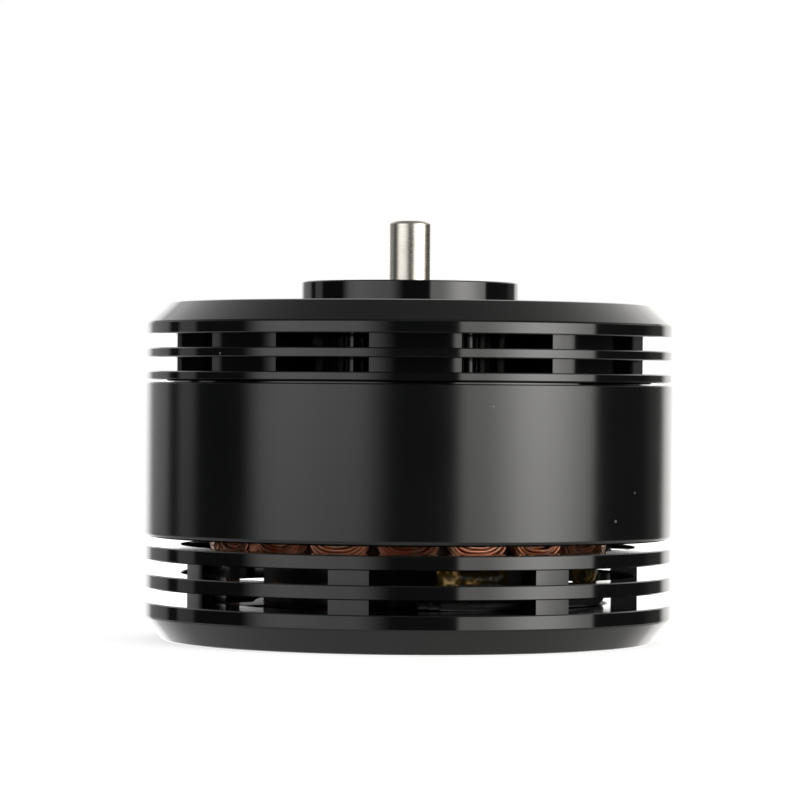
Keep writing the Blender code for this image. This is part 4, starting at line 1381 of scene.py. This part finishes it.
def ring_between(name, inner, outer, bottom, top, material, body, slot, node):
    """A plain turned ring with fine edges, in place of a node."""
    outline = [(inner, bottom), (outer, bottom), (outer, top), (inner, top)]
    made = turned(name, broken(outline, FINE_EDGE), SMALL_SIDES)
    hand_over(made, material, body, slot, node)


def heights(node):
    """The heights between which a node lies."""
    low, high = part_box(node)
    return low.z, high.z


outer_land = bearing_radius - OUTER_RING_WALL
for side in ("lower", "upper"):
    low, high = heights(f"{side}_bearing_outer_ring")
    ring_between(
        f"{side}_ground_outer_ring", outer_land, bearing_radius, low, high,
        bearing_steel, "stator", "bearing_steel", f"{side}_bearing_outer_ring",
    )
    ring_between(
        f"{side}_ground_inner_ring", shaft_bore, inner_ring_radius, low, high,
        bearing_steel, "rotor", "bearing_steel", f"{side}_bearing_inner_ring",
    )
    for face in ("lower", "upper"):
        low, high = heights(f"{side}_bearing_{face}_shield")
        ring_between(
            f"{side}_{face}_pressed_shield", inner_ring_radius + FIT_GAP, outer_land - FIT_GAP, low, high,
            bearing_steel, "stator", "bearing_steel", f"{side}_bearing_{face}_shield",
        )

# %% Washer, shim and clip
for name, node in (("ground_washer", "thrust_washer"), ("ground_shim", "bell_shim")):
    low, high = heights(node)
    ring_between(
        name, shaft_bore, inner_ring_radius, low, high, spring_steel, "rotor", "spring_steel", node
    )

CLIP_MOUTH = math.radians(80)
CLIP_WIDTH = 0.0019
clip_inner = groove + FIT_GAP
clip = pillar(
    "spring_clip", clip_inner, clip_inner + CLIP_WIDTH, 0, math.tau - CLIP_MOUTH, clip_bottom, clip_top
)
hand_over(clip, spring_steel, "rotor", "spring_steel", "retaining_clip")

# %% [markdown]
# The cages and the balls are hidden between the shields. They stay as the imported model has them, and
# only get the steel's finish.

# %% Finish the nodes that stay
for node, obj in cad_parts.items():
    if obj.hide_render:
        continue
    obj.data.materials.clear()
    obj.data.materials.append(bearing_steel)
    print("kept node", node)

# %% [markdown]
# ## Light
# The motor stands on white, with a soft box on each side of the camera, a dim strip at the far left,
# and a faint haze behind on both sides. Black gloss shows each box as a grey band, and everything
# between them is the dark room. Near its outline it mirrors the bright paper behind, and the wide
# chamfer on top mirrors the ceiling, which gets brighter towards the paper. All of it is painted on
# the world by direction. Each light is a window in the angle from the front, counted to the right: it
# says where the light starts and ends, and how wide its two soft edges are. The camera itself sees
# white everywhere.

# %% World
DARK_ROOM = 0.03
LEFT_BOX = 1.42
LEFT_BOX_MIDDLE = 0.3
RIGHT_BOX = 2.4
RIGHT_BOX_MIDDLE = 3.4
LEFT_STRIP = 0.48
LEFT_HAZE = 0.6
RIGHT_HAZE = 0.15
PAPER = 2.3
CEILING = 0.26
CEILING_AT_PAPER = 1.75
UNDER = 0.6
UNDER_AT_PAPER = 0.8


def degrees(*values):
    """The values in radians."""
    return [math.radians(value) for value in values]


def left_to_right(left, right):
    """Goes from one value to the other across the middle of the world."""
    return aside.ramp(-0.3, 0.3, left, right)


world = bpy.data.worlds.new("studio")
bpy.context.scene.world = world
world.use_nodes = True
world.node_tree.nodes.clear()
tree = Tree(world.node_tree)
way = tree.add("ShaderNodeSeparateXYZ", None, {"Vector": tree.add("ShaderNodeTexCoord")["Generated"]})
aside, back, up = way["X"], way["Y"], way["Z"]
angle = aside.math("ARCTAN2", aside, -1 * back)
level = up.window(-0.35, 0.5, 0.2, 0.2) * up.ramp(-0.08, 0.0, 0.68, 1.0)
left_middle = angle.window(*degrees(-62, -40, 16, 30))
left_box = angle.window(*degrees(-70.5, -14.5, 14, 20)) * (LEFT_BOX + LEFT_BOX_MIDDLE * left_middle)
right_middle = angle.window(*degrees(43, 73, 26, 30))
right_box = angle.window(*degrees(21.4, 86.5, 2, 3)) * (RIGHT_BOX + RIGHT_BOX_MIDDLE * right_middle)
left_strip = angle.window(*degrees(-118, -105, 4, 4)) * LEFT_STRIP
right_haze = angle.window(*degrees(125, 165, 14, 4)) * RIGHT_HAZE
left_haze = (-1 * angle).window(*degrees(127, 160, 6, 4)) * LEFT_HAZE
warm = angle.ramp(*degrees(-20, 30))
nearer = left_to_right(0.0, 0.05)
paper = (back + nearer).ramp(0.81, 0.92) * PAPER * left_to_right(0.82, 0.78)
towards_paper = ((back + 0.1).at_least(0.0) / 0.9) ** 2.2
ceiling = up.ramp(0.15, 0.45) * (CEILING + CEILING_AT_PAPER * towards_paper)
ceiling = ceiling * left_to_right(0.62, 0.82)
under = (1 - up.ramp(-0.3, -0.12)) * (UNDER + UNDER_AT_PAPER * back.ramp(0.6, 0.97))
boxes = (left_box + right_box + left_strip + left_haze + right_haze) * level
seen = boxes.at_least(paper).at_least(ceiling).at_least(under).at_least(DARK_ROOM)
camera_sees = tree.add("ShaderNodeLightPath")["Is Camera Ray"]
strength = camera_sees + (1 - camera_sees) * seen
colour = tree.mix_colour(warm * (1 - camera_sees), (1, 1, 1, 1), (1, 0.985, 0.96, 1))
light = tree.add("ShaderNodeBackground", None, {"Color": colour, "Strength": strength})
tree.add("ShaderNodeOutputWorld", None, {"Surface": light["Background"]})
print("world ready:", len(world.node_tree.nodes), "nodes")

# %% [markdown]
# ## Floor
# The floor is white paper. It takes the world's light and the motor's shadow as any paper does. For
# the camera it also glows, a little less near the motor, so that it ends up white and only the soft
# shadow at the foot is left. Mirror images leave it out: what they show below is painted on the world.

# %% Floor
FLOOR_RADIUS = 6.0
SHADOW_REACH = 0.09
GLOW_AT_FOOT = 0.7
mesh = bpy.data.meshes.new("floor")
shape = bmesh.new()
bmesh.ops.create_circle(shape, cap_ends=True, segments=SMALL_SIDES, radius=FLOOR_RADIUS)
shape.to_mesh(mesh)
shape.free()
floor = add_object("floor", mesh)
paper_white = bpy.data.materials.new("paper_white")
paper_white.use_nodes = True
paper_white.node_tree.nodes.clear()
tree = Tree(paper_white.node_tree)
radius = round_place(tree)[1]
camera_sees = tree.add("ShaderNodeLightPath")["Is Camera Ray"]
glow = radius.ramp(SHADOW_REACH * 0.4, SHADOW_REACH * 1.2, GLOW_AT_FOOT, 1.0)
matt = tree.add("ShaderNodeBsdfDiffuse", None, {"Color": (0.8, 0.8, 0.8, 1)})["BSDF"]
shine = tree.add("ShaderNodeEmission", None, {"Strength": glow * camera_sees})["Emission"]
both = tree.add("ShaderNodeAddShader", None, {0: matt, 1: shine})["Shader"]
tree.add("ShaderNodeOutputMaterial", None, {"Surface": both})
floor.data.materials.append(paper_white)
floor.visible_glossy = False

# %% Colour and size
bpy.context.scene.view_settings.view_transform = "Standard"
